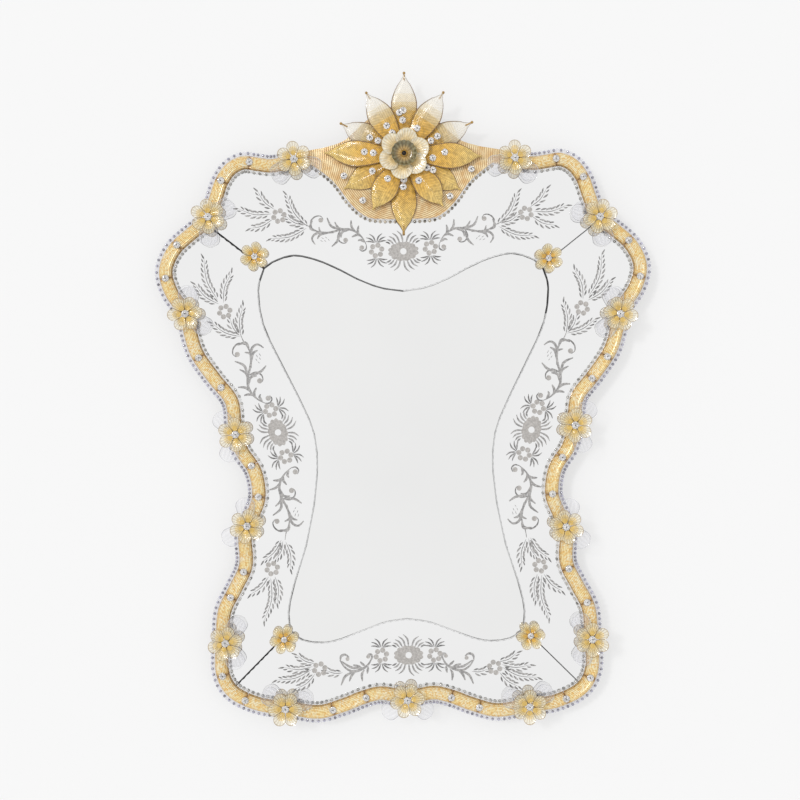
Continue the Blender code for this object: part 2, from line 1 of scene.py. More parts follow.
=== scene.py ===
"""Looks of the wall mirror: engraved plates, ribbed gold-glass strips, glass flowers and the crest.

Metres, +Z up. The mirror faces -Y and hangs on a wall at Y = 0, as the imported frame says.
"""
import bpy
import bmesh
import math
import numpy as np
from mathutils import Matrix, Vector
from mathutils.geometry import delaunay_2d_cdt

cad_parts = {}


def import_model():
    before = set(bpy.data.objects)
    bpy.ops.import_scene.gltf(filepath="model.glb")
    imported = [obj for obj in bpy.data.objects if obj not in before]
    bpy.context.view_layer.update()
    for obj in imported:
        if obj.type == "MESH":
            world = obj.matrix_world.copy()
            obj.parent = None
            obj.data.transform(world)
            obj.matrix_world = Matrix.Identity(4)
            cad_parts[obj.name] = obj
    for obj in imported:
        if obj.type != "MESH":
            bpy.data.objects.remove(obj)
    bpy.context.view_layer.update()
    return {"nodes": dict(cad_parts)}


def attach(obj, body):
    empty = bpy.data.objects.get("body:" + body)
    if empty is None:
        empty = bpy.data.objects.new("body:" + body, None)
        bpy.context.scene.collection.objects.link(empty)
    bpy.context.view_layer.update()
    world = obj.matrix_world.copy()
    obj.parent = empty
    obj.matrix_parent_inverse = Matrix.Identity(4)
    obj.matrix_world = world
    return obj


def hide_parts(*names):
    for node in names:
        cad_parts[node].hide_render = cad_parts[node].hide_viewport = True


MM = 0.001
SMALL = 1e-6

# Depths from the wall, the same as the solids'
GAP = 0.3 * MM
BOARD_FRONT = 28.3 * MM
PLATE_BACK = 28.6 * MM
PLATE_FRONT = 32.6 * MM
TRIM_BACK = 32.9 * MM
PANEL_FRONT = 38.9 * MM
BAR_FRONT = 44.9 * MM

# Frame and plates
BAR_WIDTH = 25 * MM
BAR_EDGE = BAR_WIDTH / 2
BAR_END_CLEARANCE = 8 * MM
PLATE_LEDGE = 4 * MM
SEAM = 2 * MM
JOINT = 2 * MM

# Middle line of the gold strip, plate edges and crest panel edge, in mm on the front
FRAME_LINE = (
    (0, 126), (38, 114), (70, 87), (98, 63), (130, 51), (160, 45), (201, 38), (236, 30),
    (265, 33), (290, 36), (313, 25), (330, 2), (342, -32), (356, -68), (388, -94), (418, -122),
    (434, -160), (424, -200), (397, -240), (390, -275), (377, -315), (346, -360), (316, -400),
    (310, -450), (299, -490), (275, -528), (268, -575), (281, -612), (294, -645), (293, -700),
    (312, -742), (333, -785), (337, -840), (338, -895), (318, -932), (270, -955), (222, -961),
    (165, -970), (120, -959), (80, -944), (45, -937), (0, -947),
)
PLATE_TOP = ((0, -202), (40, -196), (80, -181), (120, -160), (160, -143), (200, -135),
             (235, -145), (254, -158))
PLATE_SIDE = ((254, -158), (264, -188), (264, -218), (260, -245), (250, -278), (220, -340),
              (190, -400), (167, -455), (160, -510), (164, -570), (173, -625), (186, -680),
              (205, -738), (215, -785), (213, -820))
PLATE_BOTTOM = ((213, -820), (192, -837), (158, -843), (125, -838), (80, -821), (40, -807),
                (0, -801))
PANEL_LINE = ((166, 31), (142, 14), (125, -1), (113, -16), (104, -30), (94, -42), (79, -57),
              (62, -67), (45, -70), (22, -71), (0, -71))
UPPER_JOINT = (360, -75)
LOWER_JOINT = (325, -932)

# Flowers and rosettes along the half line, as shares of its length
LEFT_SHARES = (0.127, 0.254, 0.380, 0.5206, 0.6243, 0.7528, 0.868)
RIGHT_SHARES = (0.1325, 0.259, 0.385, 0.5143, 0.629, 0.7528, 0.868)
LEFT_ROSETTES = (0.1749, 0.2133, 0.2982, 0.3366, 0.4283, 0.4674, 0.5577, 0.5917, 0.6735, 0.7036,
                 0.7879, 0.8243, 0.9184, 0.9555)
RIGHT_ROSETTES = (0.1766, 0.2133, 0.2982, 0.3396, 0.4321, 0.4600, 0.5511, 0.5917, 0.6735, 0.7139,
                  0.7941, 0.8284, 0.9217, 0.9527)

# Gold strips
STRIP_RIBS = 8
RIB_STEPS = 4
RIB_DEPTH = 1.0 * MM
STRIP_SIDE = 7 * MM
STRIP_SHOULDER = 1.5 * MM
STRIP_STEP = 4 * MM
# Painted shade on the gold strips: darker in the grooves between the ribs and towards their rounded
# edges
GROOVE_LIGHT = 0.3               # how bright the gold is in a groove
FLANK_SHADE = 0.6                 # how much it fades towards a strip's edges
STRIP_GAP = 0.8 * MM
STRIP_END_FALL = 3 * MM          # where a strip's crown falls towards its ends
STRIP_END_DARK = 7 * MM          # where its gold darkens towards its ends

BOARD_BACK = 12.3 * MM
# Edgings: pitch; the ribbon's inner and outer side and its back; the beads' side, distance from
# the wall, size and shape
OUTER_EDGING = (8.8 * MM, (BAR_EDGE - 6 * MM, BAR_EDGE + 7 * MM, PLATE_BACK),
                (BAR_EDGE + 5.0 * MM, PLATE_BACK + 3 * MM, 5.6 * MM, (0.95, 0.9, 1)))
INNER_EDGING = (10.5 * MM, (-BAR_EDGE - 0.5 * MM, -BAR_EDGE - 5.5 * MM, TRIM_BACK),
                (-BAR_EDGE - 4.2 * MM, TRIM_BACK + 2.8 * MM, 5.4 * MM, (1.15, 1, 0.8)))
CREST_EDGING = (9 * MM, (0.5 * MM, 5 * MM, TRIM_BACK),
                (4.2 * MM, TRIM_BACK + 3 * MM, 5.2 * MM, (1.1, 1, 1)))
RIBBON_WAVE = 1.2 * MM
RIBBON_SWELL = 0.16              # how much wider a ribbon is between its pinches
RIBBON_THICKNESS = 1 * MM
RIBBON_STEPS = 4                   # points along a ribbon for each pinch

# Washer, nut and pin end on the back, in mm: sides, radius, height and rise of its middle
BACK_NUT = ((24, 6, 0.8, 0.4), (6, 3.4, 2.2, 1.9), (12, 1.5, 4.0, 2.8))

# Rosettes and flowers
ROSETTE_DEPTH = 44.6 * MM
ROSETTE_RADIUS = 6.4 * MM
FRAME_BUTTON_RADIUS = 6.8 * MM
CORNER_BUTTON_RADIUS = 5.6 * MM
CREST_BUTTON_RADIUS = 6.2 * MM
FLOWER_NECK = 49.0 * MM
FLOWER_HEAD = 1.5 * MM           # how far a flower's stem stands out of its petals
CORNER_NECK = TRIM_BACK + 5 * MM
# A petal's root, the middle of its round end and the radius there
FRAME_PETAL = (4 * MM, 20.5 * MM, 11.5 * MM)
CORNER_PETAL = (3.5 * MM, 17.5 * MM, 9 * MM)
CREST_FLOWER_PETAL = (10 * MM, 27 * MM, 20 * MM)
PETAL_CUP = 5 * MM
CREST_FLOWER_CUP = 7 * MM
PETAL_DISH = 0.9 * MM
RIM_BEAD = 0.35 * MM
# Rows of a petal from its root to its rim, and its lines across; the last rows make the rim bead
PETAL_STOPS = (0.0, 0.14, 0.28, 0.42, 0.55, 0.68, 0.80, 0.90, 0.955, 1.0)
PETAL_ROOT_ROWS = 3
PETAL_MIDDLE_ROWS = 5
PETAL_ACROSS = (-1, -0.93, -0.78, -0.6, -0.4, -0.2, 0, 0.2, 0.4, 0.6, 0.78, 0.93, 1)
LEAF_REACH = 52 * MM
LEAF_WIDTH = 35 * MM
LEAF_THICKNESS = 1.2 * MM
LEAF_LIFT = 1.3 * MM
LEAF_BEAD = 0.25 * MM
LEAF_SPLAY = math.radians(31)
LEAF_OUTLINE = ((0.0, 0.16), (0.20, 0.50), (0.42, 0.82), (0.60, 0.95), (0.76, 1.0), (0.90, 0.80),
                (1.0, 0.25))
LEFT_TURNS = (35, 35, 5, 35, 20, 15, 0)
RIGHT_TURNS = (32, 15, 50, 25, 42, 30, 28)
CORNER_PLACES = ((-271, -136), (266, -145), (-224, -836), (226, -834))
CORNER_TURNS = (20, 35, 10, 5)
LEAF_SIDES = (-1, -1, -1, 1, 1, -1, -1)
LEFT_SET_IN = (0, 0, 0, 0, 0, 7 * MM, 0)
BOTTOM_TURN = 10

# Crest
CREST_HEIGHT = 45 * MM
CREST_SHIFT = 4 * MM
CREST_ROOT = 12 * MM
CREST_PETAL_WIDTH = 48 * MM
CREST_FLOWER_NECK = 53.3 * MM
CREST_CUP_SEAT = 56.1 * MM
CREST_ROSETTE_DEPTH = 52.0 * MM
CREST_FADES = (0.40, 0.50, 0.60, 0.70)   # where the clear-tipped petals' gold thins out
CREST_RIB_RUN = 60 * MM
CREST_CENTRE = (CREST_SHIFT, CREST_HEIGHT)
CREST_THINNEST = 0.015           # half width of a petal's point, as a share of its fullest
PANEL_RIB = 3.4 * MM
CUP_RIBS = 16
# The cup's profile in mm: distance from its middle and rise from its seat
CUP_PROFILE = ((0.5, 0.0), (8.6, 0.0), (14.5, 1.2), (19.5, 4.2), (22.3, 8.5), (23, 12.0),
               (22, 12.2), (20, 10.0), (16.5, 6.6), (11, 5.2), (7.5, 5.0), (5, 6.2), (0.5, 6.6))
CREST_LEAVES = ((152.8, 130 * MM, False), (120.8, 133 * MM, True), (89.4, 151 * MM, False),
                (57.1, 135 * MM, True), (25.2, 139 * MM, False))
CREST_PETALS = ((178, 146 * MM, True), (208.4, 126 * MM, False), (239.7, 116 * MM, True),
                (269.2, 143 * MM, False), (306.8, 118 * MM, True), (328, 121 * MM, False),
                (358.4, 142 * MM, True))
CREST_SHAPE = ((0.0, 0.16, 0.0), (0.28, 0.72, 0.95), (0.58, 1.0, 1.0), (0.80, 0.62, 0.88),
               (0.92, 0.16, 0.78), (1.0, 0.04, 0.7))
CREST_ROSETTES = ((-4, 122), (3, 126), (2, 107), (-27, 97), (-17, 84), (-58, 76), (-43, 70),
                  (-68, 50), (-52, 48), (28, 92), (65, 77), (53, 69), (78, 48), (56, 38), (45, 20),
                  (56, 16), (-54, 15), (-26, 1), (3, -1), (2, -14), (30, -3), (-106, 8),
                  (126, 18), (-72, -37), (87, -31))
TIPPED_PETAL = 3                 # the only one of the seven gold petals with a drawn-out tip

# Engraving
CUT_DEPTH = 0.5 * MM
SPINE_STEP = 3.0                 # mm between the points of a cut's middle line
FINE_CUT = 1.7                   # cuts with a smaller half width are cut darker
CUT_START = 0.25                 # a cut's width at its start, as a share of its fullest
SPRIG_PITCH = 10.2               # mm between the leaves of a sprig
SPRIG_BEND = 0.10
# A sprig's leaf in mm: its root's distance from the stem, and its reach along the stem and out
SPRIG_LEAF_ROOT = 2.8
SPRIG_LEAF_REACH = 10.4
SPRIG_LEAF_OUT = 3.6
FAN_FALL = 0.36                  # how far a fan's rays fall aside, as a share of their reach
FIELD_POINTS = 96
FIELD_LOBES = 12
MIDDLE_CLEAR = 5.8               # clear round in the middle of a scalloped field
SCROLL_LEAST = 0.85              # smaller scrolls keep this share of the strokes' width

# Putty of the seam, down from the top middle: share of the half line, and which of the tones. The tones
# are painted shade and reflection of the plates' edges.
SEAM_PUTTY = ("dark_putty", "grey_putty", "pale_putty", "slate_putty")
SEAM_TONES_LEFT = ((0.25, 3), (0.86, 1), (1.0, 2))
SEAM_TONES_RIGHT = ((0.17, 2), (0.222, 1), (0.304, 0), (0.82, 1), (1.0, 2))
SEAM_SIDE = 0.15 * MM            # clearance between the putty and the glass

# Stage, light and camera
WALL_HALF_WIDTH = 6
WALL_TOP = 2.5
FLOOR_LEVEL = -1.7
FLOOR_DEPTH = 2.6
FLOOR_ROUNDING = 0.6
KEY_PLACE = (-1.5, -2.3, 0.45)
KEY_TARGET = (0, 0, -0.4)
CAMERA_PLACE = (-0.008, -2.44, -0.401)
CAMERA_ROLL = 0.6                # degrees


def on_front(point):
    """A point in mm on the front as a real (x, z)."""
    return (point[0] * MM, point[1] * MM)


def smooth_line(points, steps=8):
    """A Catmull-Rom curve through the points."""
    line = []
    padded = [points[0], *points, points[-1]]
    for a, b, c, d in zip(padded, padded[1:], padded[2:], padded[3:]):
        for k in range(steps):
            t = k / steps
            line.append(tuple(
                0.5 * (2 * b[i] + (c[i] - a[i]) * t
                       + (2 * a[i] - 5 * b[i] + 4 * c[i] - d[i]) * t ** 2
                       + (3 * b[i] - a[i] - 3 * c[i] + d[i]) * t ** 3)
                for i in (0, 1)))
    line.append(tuple(points[-1]))
    return line


def half_line(points, steps=8):
    return smooth_line([on_front(p) for p in points], steps)


def mirrored(line):
    return [(-x, z) for x, z in line]


def whole(half):
    """A half line that starts or ends in the middle, joined to its mirrored half."""
    if abs(half[-1][0]) < SMALL:
        return half + mirrored(half)[::-1][1:]
    return mirrored(half)[::-1] + half[1:]


def circle(x, z, radius, count):
    """A ring of points round (x, z)."""
    angles = [k * math.tau / count for k in range(count)]
    return [(x + radius * math.cos(a), z + radius * math.sin(a)) for a in angles]


def square_to(v):
    """The direction v turned a quarter to the left."""
    return Vector((-v.y, v.x))


def direction_at(line, i):
    a = Vector(line[max(i - 1, 0)])
    b = Vector(line[min(i + 1, len(line) - 1)])
    return (b - a).normalized()


def offset_line(half, distance):
    """The half line moved outwards, away from the mirror's middle."""
    moved = []
    for i, (x, z) in enumerate(half):
        d = direction_at(half, i)
        if abs(x) < SMALL:
            d = Vector((math.copysign(1, d.x), 0))
        moved.append((x - d.y * distance, z + d.x * distance))
    return moved


class Path:
    """A line that knows the distances along it."""

    def __init__(self, line):
        self.line = line
        self.lengths = [0.0]
        for a, b in zip(line, line[1:]):
            self.lengths.append(self.lengths[-1] + math.dist(a, b))
        self.total = self.lengths[-1]

    def at(self, s):
        """Point and direction at the distance s along the line."""
        for i in range(len(self.line) - 1):
            if self.lengths[i + 1] >= s or i == len(self.line) - 2:
                t = (s - self.lengths[i]) / (self.lengths[i + 1] - self.lengths[i])
                a, b = Vector(self.line[i]), Vector(self.line[i + 1])
                before, after = direction_at(self.line, i), direction_at(self.line, i + 1)
                return a.lerp(b, t), before.lerp(after, t).normalized()

    def beyond(self, share):
        """The points that lie past a share of the whole length."""
        return [p for p, s in zip(self.line, self.lengths) if s >= share * self.total]


FRAME = Path(half_line(FRAME_LINE))
SHEET = half_line(PLATE_TOP)[:-1] + half_line(PLATE_SIDE)[:-1] + half_line(PLATE_BOTTOM)


def frame_spots(left_shares, right_shares):
    """Where shares of the half frame's length lie on the front, the left ones first."""
    spots = []
    for hand, shares in ((-1, left_shares), (1, right_shares)):
        for share in shares:
            spot, _ = FRAME.at(share * FRAME.total)
            spots.append((hand * spot.x, spot.y))
    return spots


def kept_side(line, point, normal):
    """The part of an open line on the side of a straight cut that the normal points to."""
    kept = []
    for a, b in zip(line, line[1:]):
        da = (Vector(a) - point).dot(normal)
        db = (Vector(b) - point).dot(normal)
        if da >= 0:
            kept.append(a)
        if da * db < 0:
            t = da / (da - db)
            kept.append((a[0] + (b[0] - a[0]) * t, a[1] + (b[1] - a[1]) * t))
    if (Vector(line[-1]) - point).dot(normal) >= 0:
        kept.append(line[-1])
    return kept


def float_layers(bm, *names):
    """The named numbers that each point carries, made before the shape that uses them."""
    layers = bm.verts.layers.float
    for name in names:
        if name not in layers:
            layers.new(name)
    return [layers[name] for name in names]


def stamp(bm, shape, place):
    """Adds a copy of a finished small mesh at a place given as a matrix."""
    copy = shape.copy()
    copy.transform(place)
    bm.from_mesh(copy)
    bpy.data.meshes.remove(copy)


def small_mesh(bm, material=0):
    """A small shape kept as a mesh, to be stamped many times."""
    bmesh.ops.recalc_face_normals(bm, faces=bm.faces)
    mesh = bpy.data.meshes.new("small shape")
    bm.to_mesh(mesh)
    bm.free()
    if material:
        for face in mesh.polygons:
            face.material_index = material
    return mesh


def paint(verts, material):
    """Gives the faces round some points one of the piece's materials."""
    for v in verts:
        for f in v.link_faces:
            f.material_index = material


def extruded(bm, faces):
    """Extrudes faces in place and gives the new points and the new faces."""
    grown = bmesh.ops.extrude_face_region(bm, geom=faces)["geom"]
    return ([g for g in grown if isinstance(g, bmesh.types.BMVert)],
            [g for g in grown if isinstance(g, bmesh.types.BMFace)])


def thicken(bm, faces, thickness):
    """Gives a sheet of faces a back, straight behind its front."""
    bmesh.ops.translate(bm, verts=extruded(bm, faces)[0], vec=(0, -thickness, 0))


def draw_out(bm, edges, vec):
    """Extrudes edges and moves the new ones."""
    grown = bmesh.ops.extrude_edge_only(bm, edges=edges)["geom"]
    moved = [g for g in grown if isinstance(g, bmesh.types.BMVert)]
    bmesh.ops.translate(bm, verts=moved, vec=vec)


def stud(bm, spot, front, back, radii, segments=16, turn=math.pi / 2):
    """A round pin square to the wall, between two distances from it."""
    verts = bmesh.ops.create_cone(bm, cap_ends=True, segments=segments, radius1=radii[0],
                                  radius2=radii[1], depth=front - back)["verts"]
    bmesh.ops.rotate(bm, verts=verts, cent=(0, 0, 0), matrix=Matrix.Rotation(turn, 3, 'X'))
    bmesh.ops.translate(bm, verts=verts, vec=(spot[0], -(front + back) / 2, spot[1]))
    return verts


def add_piece(name, bm, looks, slot, nodes=(), smooth=60):
    """A finished piece: it rides with the mirror and may stand for CAD nodes."""
    bmesh.ops.recalc_face_normals(bm, faces=bm.faces)
    mesh = bpy.data.meshes.new(name)
    bm.to_mesh(mesh)
    bm.free()
    for look in looks:
        mesh.materials.append(LOOKS[look])
    if smooth:
        mesh.shade_smooth()
        mesh.set_sharp_from_angle(angle=math.radians(smooth))
    thing = bpy.data.objects.new(name, mesh)
    bpy.context.scene.collection.objects.link(thing)
    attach(thing, "root")
    if nodes:
        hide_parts(*nodes)


# Materials; each is kept here by its name

LOOKS = {}


def new_material(name, colour, roughness, **sockets):
    """A material's tree and the inputs of its shader."""
    mat = bpy.data.materials.new(name)
    mat.use_nodes = True
    shader = mat.node_tree.nodes["Principled BSDF"].inputs
    shader["Base Color"].default_value = (*colour, 1.0)
    shader["Roughness"].default_value = roughness
    for socket, value in sockets.items():
        shader[socket.replace("_", " ")].default_value = value
    LOOKS[name] = mat
    return mat.node_tree, shader


def feed(tree, socket, value):
    """Joins a socket to another one, or gives it a plain value or colour."""
    if isinstance(value, bpy.types.NodeSocket):
        tree.links.new(value, socket)
    elif socket.type == 'RGBA':
        socket.default_value = (*value, 1.0)
    else:
        socket.default_value = value


def add_node(tree, kind, inputs, output=0, operation=None):
    """A new node with its named or numbered inputs; gives one of its outputs."""
    node = tree.nodes.new(f"ShaderNode{kind}")
    if operation:
        node.operation = operation
    for name, value in inputs.items():
        feed(tree, node.inputs[name], value)
    return node.outputs[output]


def group_node(tree, group, **values):
    """A group's node; gives its outputs."""
    node = tree.nodes.new("ShaderNodeGroup")
    node.node_tree = group
    for name, value in values.items():
        feed(tree, node.inputs[name], value)
    return node.outputs


def add_mix(tree, factor, a, b, blend='MIX'):
    """A colour mix; factor, a and b are each a socket or a plain value."""
    mix = tree.nodes.new("ShaderNodeMix")
    mix.data_type = 'RGBA'
    mix.blend_type = blend
    for name, value in (("Factor", factor), ("A", a), ("B", b)):
        feed(tree, mix.inputs[name], value)
    return mix.outputs["Result"]


def shaded(colour, share):
    return tuple(c * share for c in colour)


def new_group(name, inputs, outputs):
    """A group with number inputs: its tree, its inputs and its outputs."""
    tree = bpy.data.node_groups.new(name, "ShaderNodeTree")
    for label, value in inputs.items():
        socket = tree.interface.new_socket(label, in_out='INPUT', socket_type="NodeSocketFloat")
        socket.default_value = value
    for label, kind in outputs.items():
        tree.interface.new_socket(label, in_out='OUTPUT', socket_type=kind)
    start = tree.nodes.new("NodeGroupInput")
    end = tree.nodes.new("NodeGroupOutput")
    return tree, start.outputs, end.inputs


def fine_ribs():
    """Ribs across a coordinate: 1 on each ridge and 0 in each groove, and a bump normal."""
    tree, start, end = new_group("fine ribs", {"Coordinate": 0.0, "Count": 8.0, "Depth": 0.3},
                                 {"Ridge": "NodeSocketFloat", "Normal": "NodeSocketVector"})
    turns = add_node(tree, "Math", {0: start["Coordinate"], 1: start["Count"]}, 0, 'MULTIPLY')
    angle = add_node(tree, "Math", {0: turns, 1: math.tau}, 0, 'MULTIPLY')
    wave = add_node(tree, "Math", {0: angle}, 0, 'COSINE')
    ridge = add_node(tree, "MapRange", {"Value": wave, "From Min": -1.0})
    feed(tree, end["Ridge"], ridge)
    bump = {"Distance": 0.4 * MM, "Strength": start["Depth"], "Height": ridge}
    feed(tree, end["Normal"], add_node(tree, "Bump", bump))
    return tree


def mottle():
    """Soft patches in Object coordinates, as in beaten leaf, clouded glass or stained wood."""
    tree, start, end = new_group("mottle", {"Scale": 60.0, "Low": 0.35, "High": 0.65},
                                 {"Patch": "NodeSocketFloat"})
    place = add_node(tree, "TexCoord", {}, "Object")
    noise = add_node(tree, "TexNoise", {"Vector": place, "Scale": start["Scale"], "Detail": 4.0},
                     "Fac")
    spread = {"Value": noise, "From Min": start["Low"], "From Max": start["High"]}
    feed(tree, end["Patch"], add_node(tree, "MapRange", spread))
    return tree


RIBS = fine_ribs()
MOTTLE = mottle()


def patches(tree, scale, low=0.35, high=0.65):
    """Soft patches of a scale, from 0 to 1."""
    return group_node(tree, MOTTLE, Scale=scale, Low=low, High=high)["Patch"]


def patchy_material(name, low, high, roughness, patch, **sockets):
    """A surface whose colour shifts between two tones in soft patches."""
    tree, shader = new_material(name, high, roughness, **sockets)
    feed(tree, shader["Base Color"], add_mix(tree, patches(tree, *patch), low, high))


def attribute(tree, name):
    node = tree.nodes.new("ShaderNodeAttribute")
    node.attribute_name = name
    return node.outputs["Fac"]


def strip_material():
    """Gold leaf behind ribbed glass, crackled and brown at its ends, with brown painted shade in its
    grooves and towards its edges.
    """
    tree, shader = new_material("gold_strip", (0.8, 0.6, 0.25), 0.3, Metallic=0.15,
                                Coat_Weight=0.15, Coat_Roughness=0.15)
    patch = patches(tree, 60.0)
    crackle = patches(tree, 270.0, 0.42, 0.54)
    pale = add_mix(tree, patch, (1.0, 0.88, 0.46), (1.0, 1.0, 0.78))
    fine = add_mix(tree, crackle, (0.88, 0.60, 0.22), pale)
    # Painted shade: the ridge attribute darkens the gold to brown in the grooves and towards the edges
    ribbed = add_mix(tree, attribute(tree, "ridge"), (0.42, 0.23, 0.06), fine)
    ends = add_mix(tree, attribute(tree, "end"), ribbed, (0.35, 0.18, 0.05))
    feed(tree, shader["Base Color"], ends)
    bump = {"Strength": 0.35, "Distance": 0.3 * MM, "Height": crackle}
    feed(tree, shader["Normal"], add_node(tree, "Bump", bump))


def wood_material(name, dark, pale):
    """Stained wood with its grain along X."""
    tree, shader = new_material(name, dark, 0.5)
    place = add_node(tree, "TexCoord", {}, "Object")
    long = add_node(tree, "Mapping", {"Vector": place, "Scale": (1.5, 30.0, 30.0)})
    grain = add_node(tree, "TexNoise", {"Vector": long, "Scale": 6.0, "Detail": 8.0,
                                        "Distortion": 0.6}, "Fac")
    spread = add_node(tree, "MapRange", {"Value": grain, "From Min": 0.35, "From Max": 0.65})
    feed(tree, shader["Base Color"], add_mix(tree, spread, dark, pale))
    bump = {"Strength": 0.25, "Distance": 0.3 * MM, "Height": grain}
    feed(tree, shader["Normal"], add_node(tree, "Bump", bump))


def wall_material():
    """The stage's paint. From behind, the wall is see-through, so that the back can be seen."""
    tree, _ = new_material("wall_paint", (0.32, 0.32, 0.32), 0.9, Specular_IOR_Level=0.0,
                           Emission_Color=(1, 1, 1, 1), Emission_Strength=0.565)
    behind = add_node(tree, "NewGeometry", {}, "Backfacing")
    front = tree.nodes["Principled BSDF"].outputs["BSDF"]
    clear = add_node(tree, "BsdfTransparent", {})
    choose = add_node(tree, "MixShader", {"Fac": behind, 1: front, 2: clear})
    feed(tree, tree.nodes["Material Output"].inputs["Surface"], choose)


def ribbed_glass(name, colour, gold, alpha, ribs, roughness=0.12, depth=0.5, groove=0.75,
                 cloud=0.92, tint=(1.04, 0.92, 0.72)):
    """Glass with ribs along the piece's fan coordinate, painted shade in their grooves, and gold leaf
    towards its root.
    """
    tree, shader = new_material(name, colour, roughness, Alpha=alpha, Coat_Weight=0.25,
                                Coat_Roughness=0.05)
    rib = group_node(tree, RIBS, Coordinate=attribute(tree, "fan"), Count=ribs, Depth=depth)
    patch = patches(tree, 160.0)
    leaf = add_mix(tree, patch, shaded(gold, min(cloud, 0.72)), gold)
    bare = add_mix(tree, patch, shaded(colour, cloud), colour)
    tone = add_mix(tree, attribute(tree, "leaf"), bare, leaf)
    # Painted shade: each groove between the ribs is darkened by groove and tinted by tint
    shade = add_mix(tree, rib["Ridge"], shaded(tint, groove), (1.0, 1.0, 1.0))
    feed(tree, shader["Base Color"], add_mix(tree, 1.0, tone, shade, 'MULTIPLY'))
    feed(tree, shader["Normal"], rib["Normal"])


def plain_glass(name, colour, alpha, shade=0.7, clouds=240.0, roughness=0.08, low=0.35, high=0.65):
    """Clear or tinted glass, or putty, with faint clouds."""
    patchy_material(name, shaded(colour, shade), colour, roughness, (clouds, low, high),
                    Alpha=alpha, Coat_Weight=0.8, Coat_Roughness=0.04)


def panel_material():
    """Gold leaf behind glass with round ribs about the middle of the crest, and painted shade in their
    grooves.
    """
    tree, shader = new_material("gold_panel", (0.72, 0.48, 0.16), 0.28, Metallic=0.3,
                                Coat_Weight=0.6, Coat_Roughness=0.06)
    place = add_node(tree, "TexCoord", {}, "Object")
    flat = add_node(tree, "VectorMath", {0: place, 1: (1, 0, 1), 2: (-CREST_SHIFT, 0, -CREST_HEIGHT)},
                    "Vector", 'MULTIPLY_ADD')
    away = add_node(tree, "VectorMath", {0: flat}, "Value", 'LENGTH')
    rib = group_node(tree, RIBS, Coordinate=away, Count=1 / PANEL_RIB, Depth=0.6)
    patch = patches(tree, 75.0)
    pale = add_mix(tree, patch, (0.74, 0.46, 0.18), (1.0, 0.87, 0.54))
    # Painted shade: the gold is darker brown in the grooves between the ribs
    feed(tree, shader["Base Color"], add_mix(tree, rib["Ridge"], (0.42, 0.25, 0.10), pale))
    feed(tree, shader["Normal"], rib["Normal"])


def joint_material():
    """Putty of the plates' joints, darker at the left than at the upper right: painted shade."""
    left, right = (0.01, 0.01, 0.01), (0.12, 0.12, 0.12)
    tree, shader = new_material("joint_putty", right, 0.8)
    place = add_node(tree, "TexCoord", {}, "Object")
    # Painted shade: darker towards the left and the bottom
    turn = add_node(tree, "VectorMath", {0: place, 1: (1.0, 0.0, 0.35)}, "Value", 'DOT_PRODUCT')
    share = add_node(tree, "MapRange", {"Value": turn, "From Min": -0.35, "From Max": 0.05})
    feed(tree, shader["Base Color"], add_mix(tree, share, left, right))


# Name, colour, its gold towards the root, alpha, ribs, and what else differs
RIBBED_GLASS = (
    ("gold_petal", (1.0, 0.76, 0.32), (1.0, 0.72, 0.22), 0.84, 7, {"groove": 0.62}),
    ("half_petal", (1.0, 0.91, 0.64), (1.0, 0.79, 0.37), 0.64, 7, {"groove": 0.66}),
    ("clear_petal", (1.0, 0.95, 0.76), (1.0, 0.86, 0.52), 0.38, 7, {"groove": 0.6}),
    ("corner_gold", (0.95, 0.62, 0.14), (0.92, 0.56, 0.10), 0.97, 7, {"groove": 0.55}),
    ("corner_half", (1.0, 0.90, 0.60), (0.98, 0.74, 0.30), 0.7, 7, {"groove": 0.6}),
    ("corner_petal", (1.0, 0.93, 0.68), (0.98, 0.80, 0.40), 0.5, 7, {"groove": 0.6}),
    ("clear_leaf", (0.86, 0.86, 0.93), (0.88, 0.88, 0.92), 0.10, 5,
     {"depth": 0.25, "groove": 0.6, "tint": (1.0, 1.0, 1.06)}),
    ("crest_gold", (0.97, 0.71, 0.24), (0.95, 0.57, 0.10), 1.0, 16,
     {"depth": 0.8, "groove": 0.55, "cloud": 0.62}),
    ("crest_thin_gold", (0.99, 0.82, 0.42), (0.97, 0.62, 0.16), 0.88, 16,
     {"depth": 0.8, "groove": 0.55, "cloud": 0.66}),
    ("crest_half_gold", (1.0, 0.93, 0.72), (1.0, 0.76, 0.34), 0.66, 16, {"depth": 0.8, "groove": 0.6}),
    ("crest_faint_gold", (1.0, 0.97, 0.84), (1.0, 0.80, 0.44), 0.5, 16, {"groove": 0.66}),
    ("crest_clear", (1.0, 0.99, 0.94), (1.0, 0.86, 0.56), 0.36, 16, {"groove": 0.7}),
    ("milky_petal", (1.0, 0.95, 0.80), (0.95, 0.74, 0.38), 0.95, 13, {"groove": 0.84, "cloud": 0.68}),
    ("olive_cup", (0.30, 0.27, 0.15), (0.62, 0.40, 0.13), 1.0, CUP_RIBS, {"groove": 0.6, "cloud": 0.5}),
)
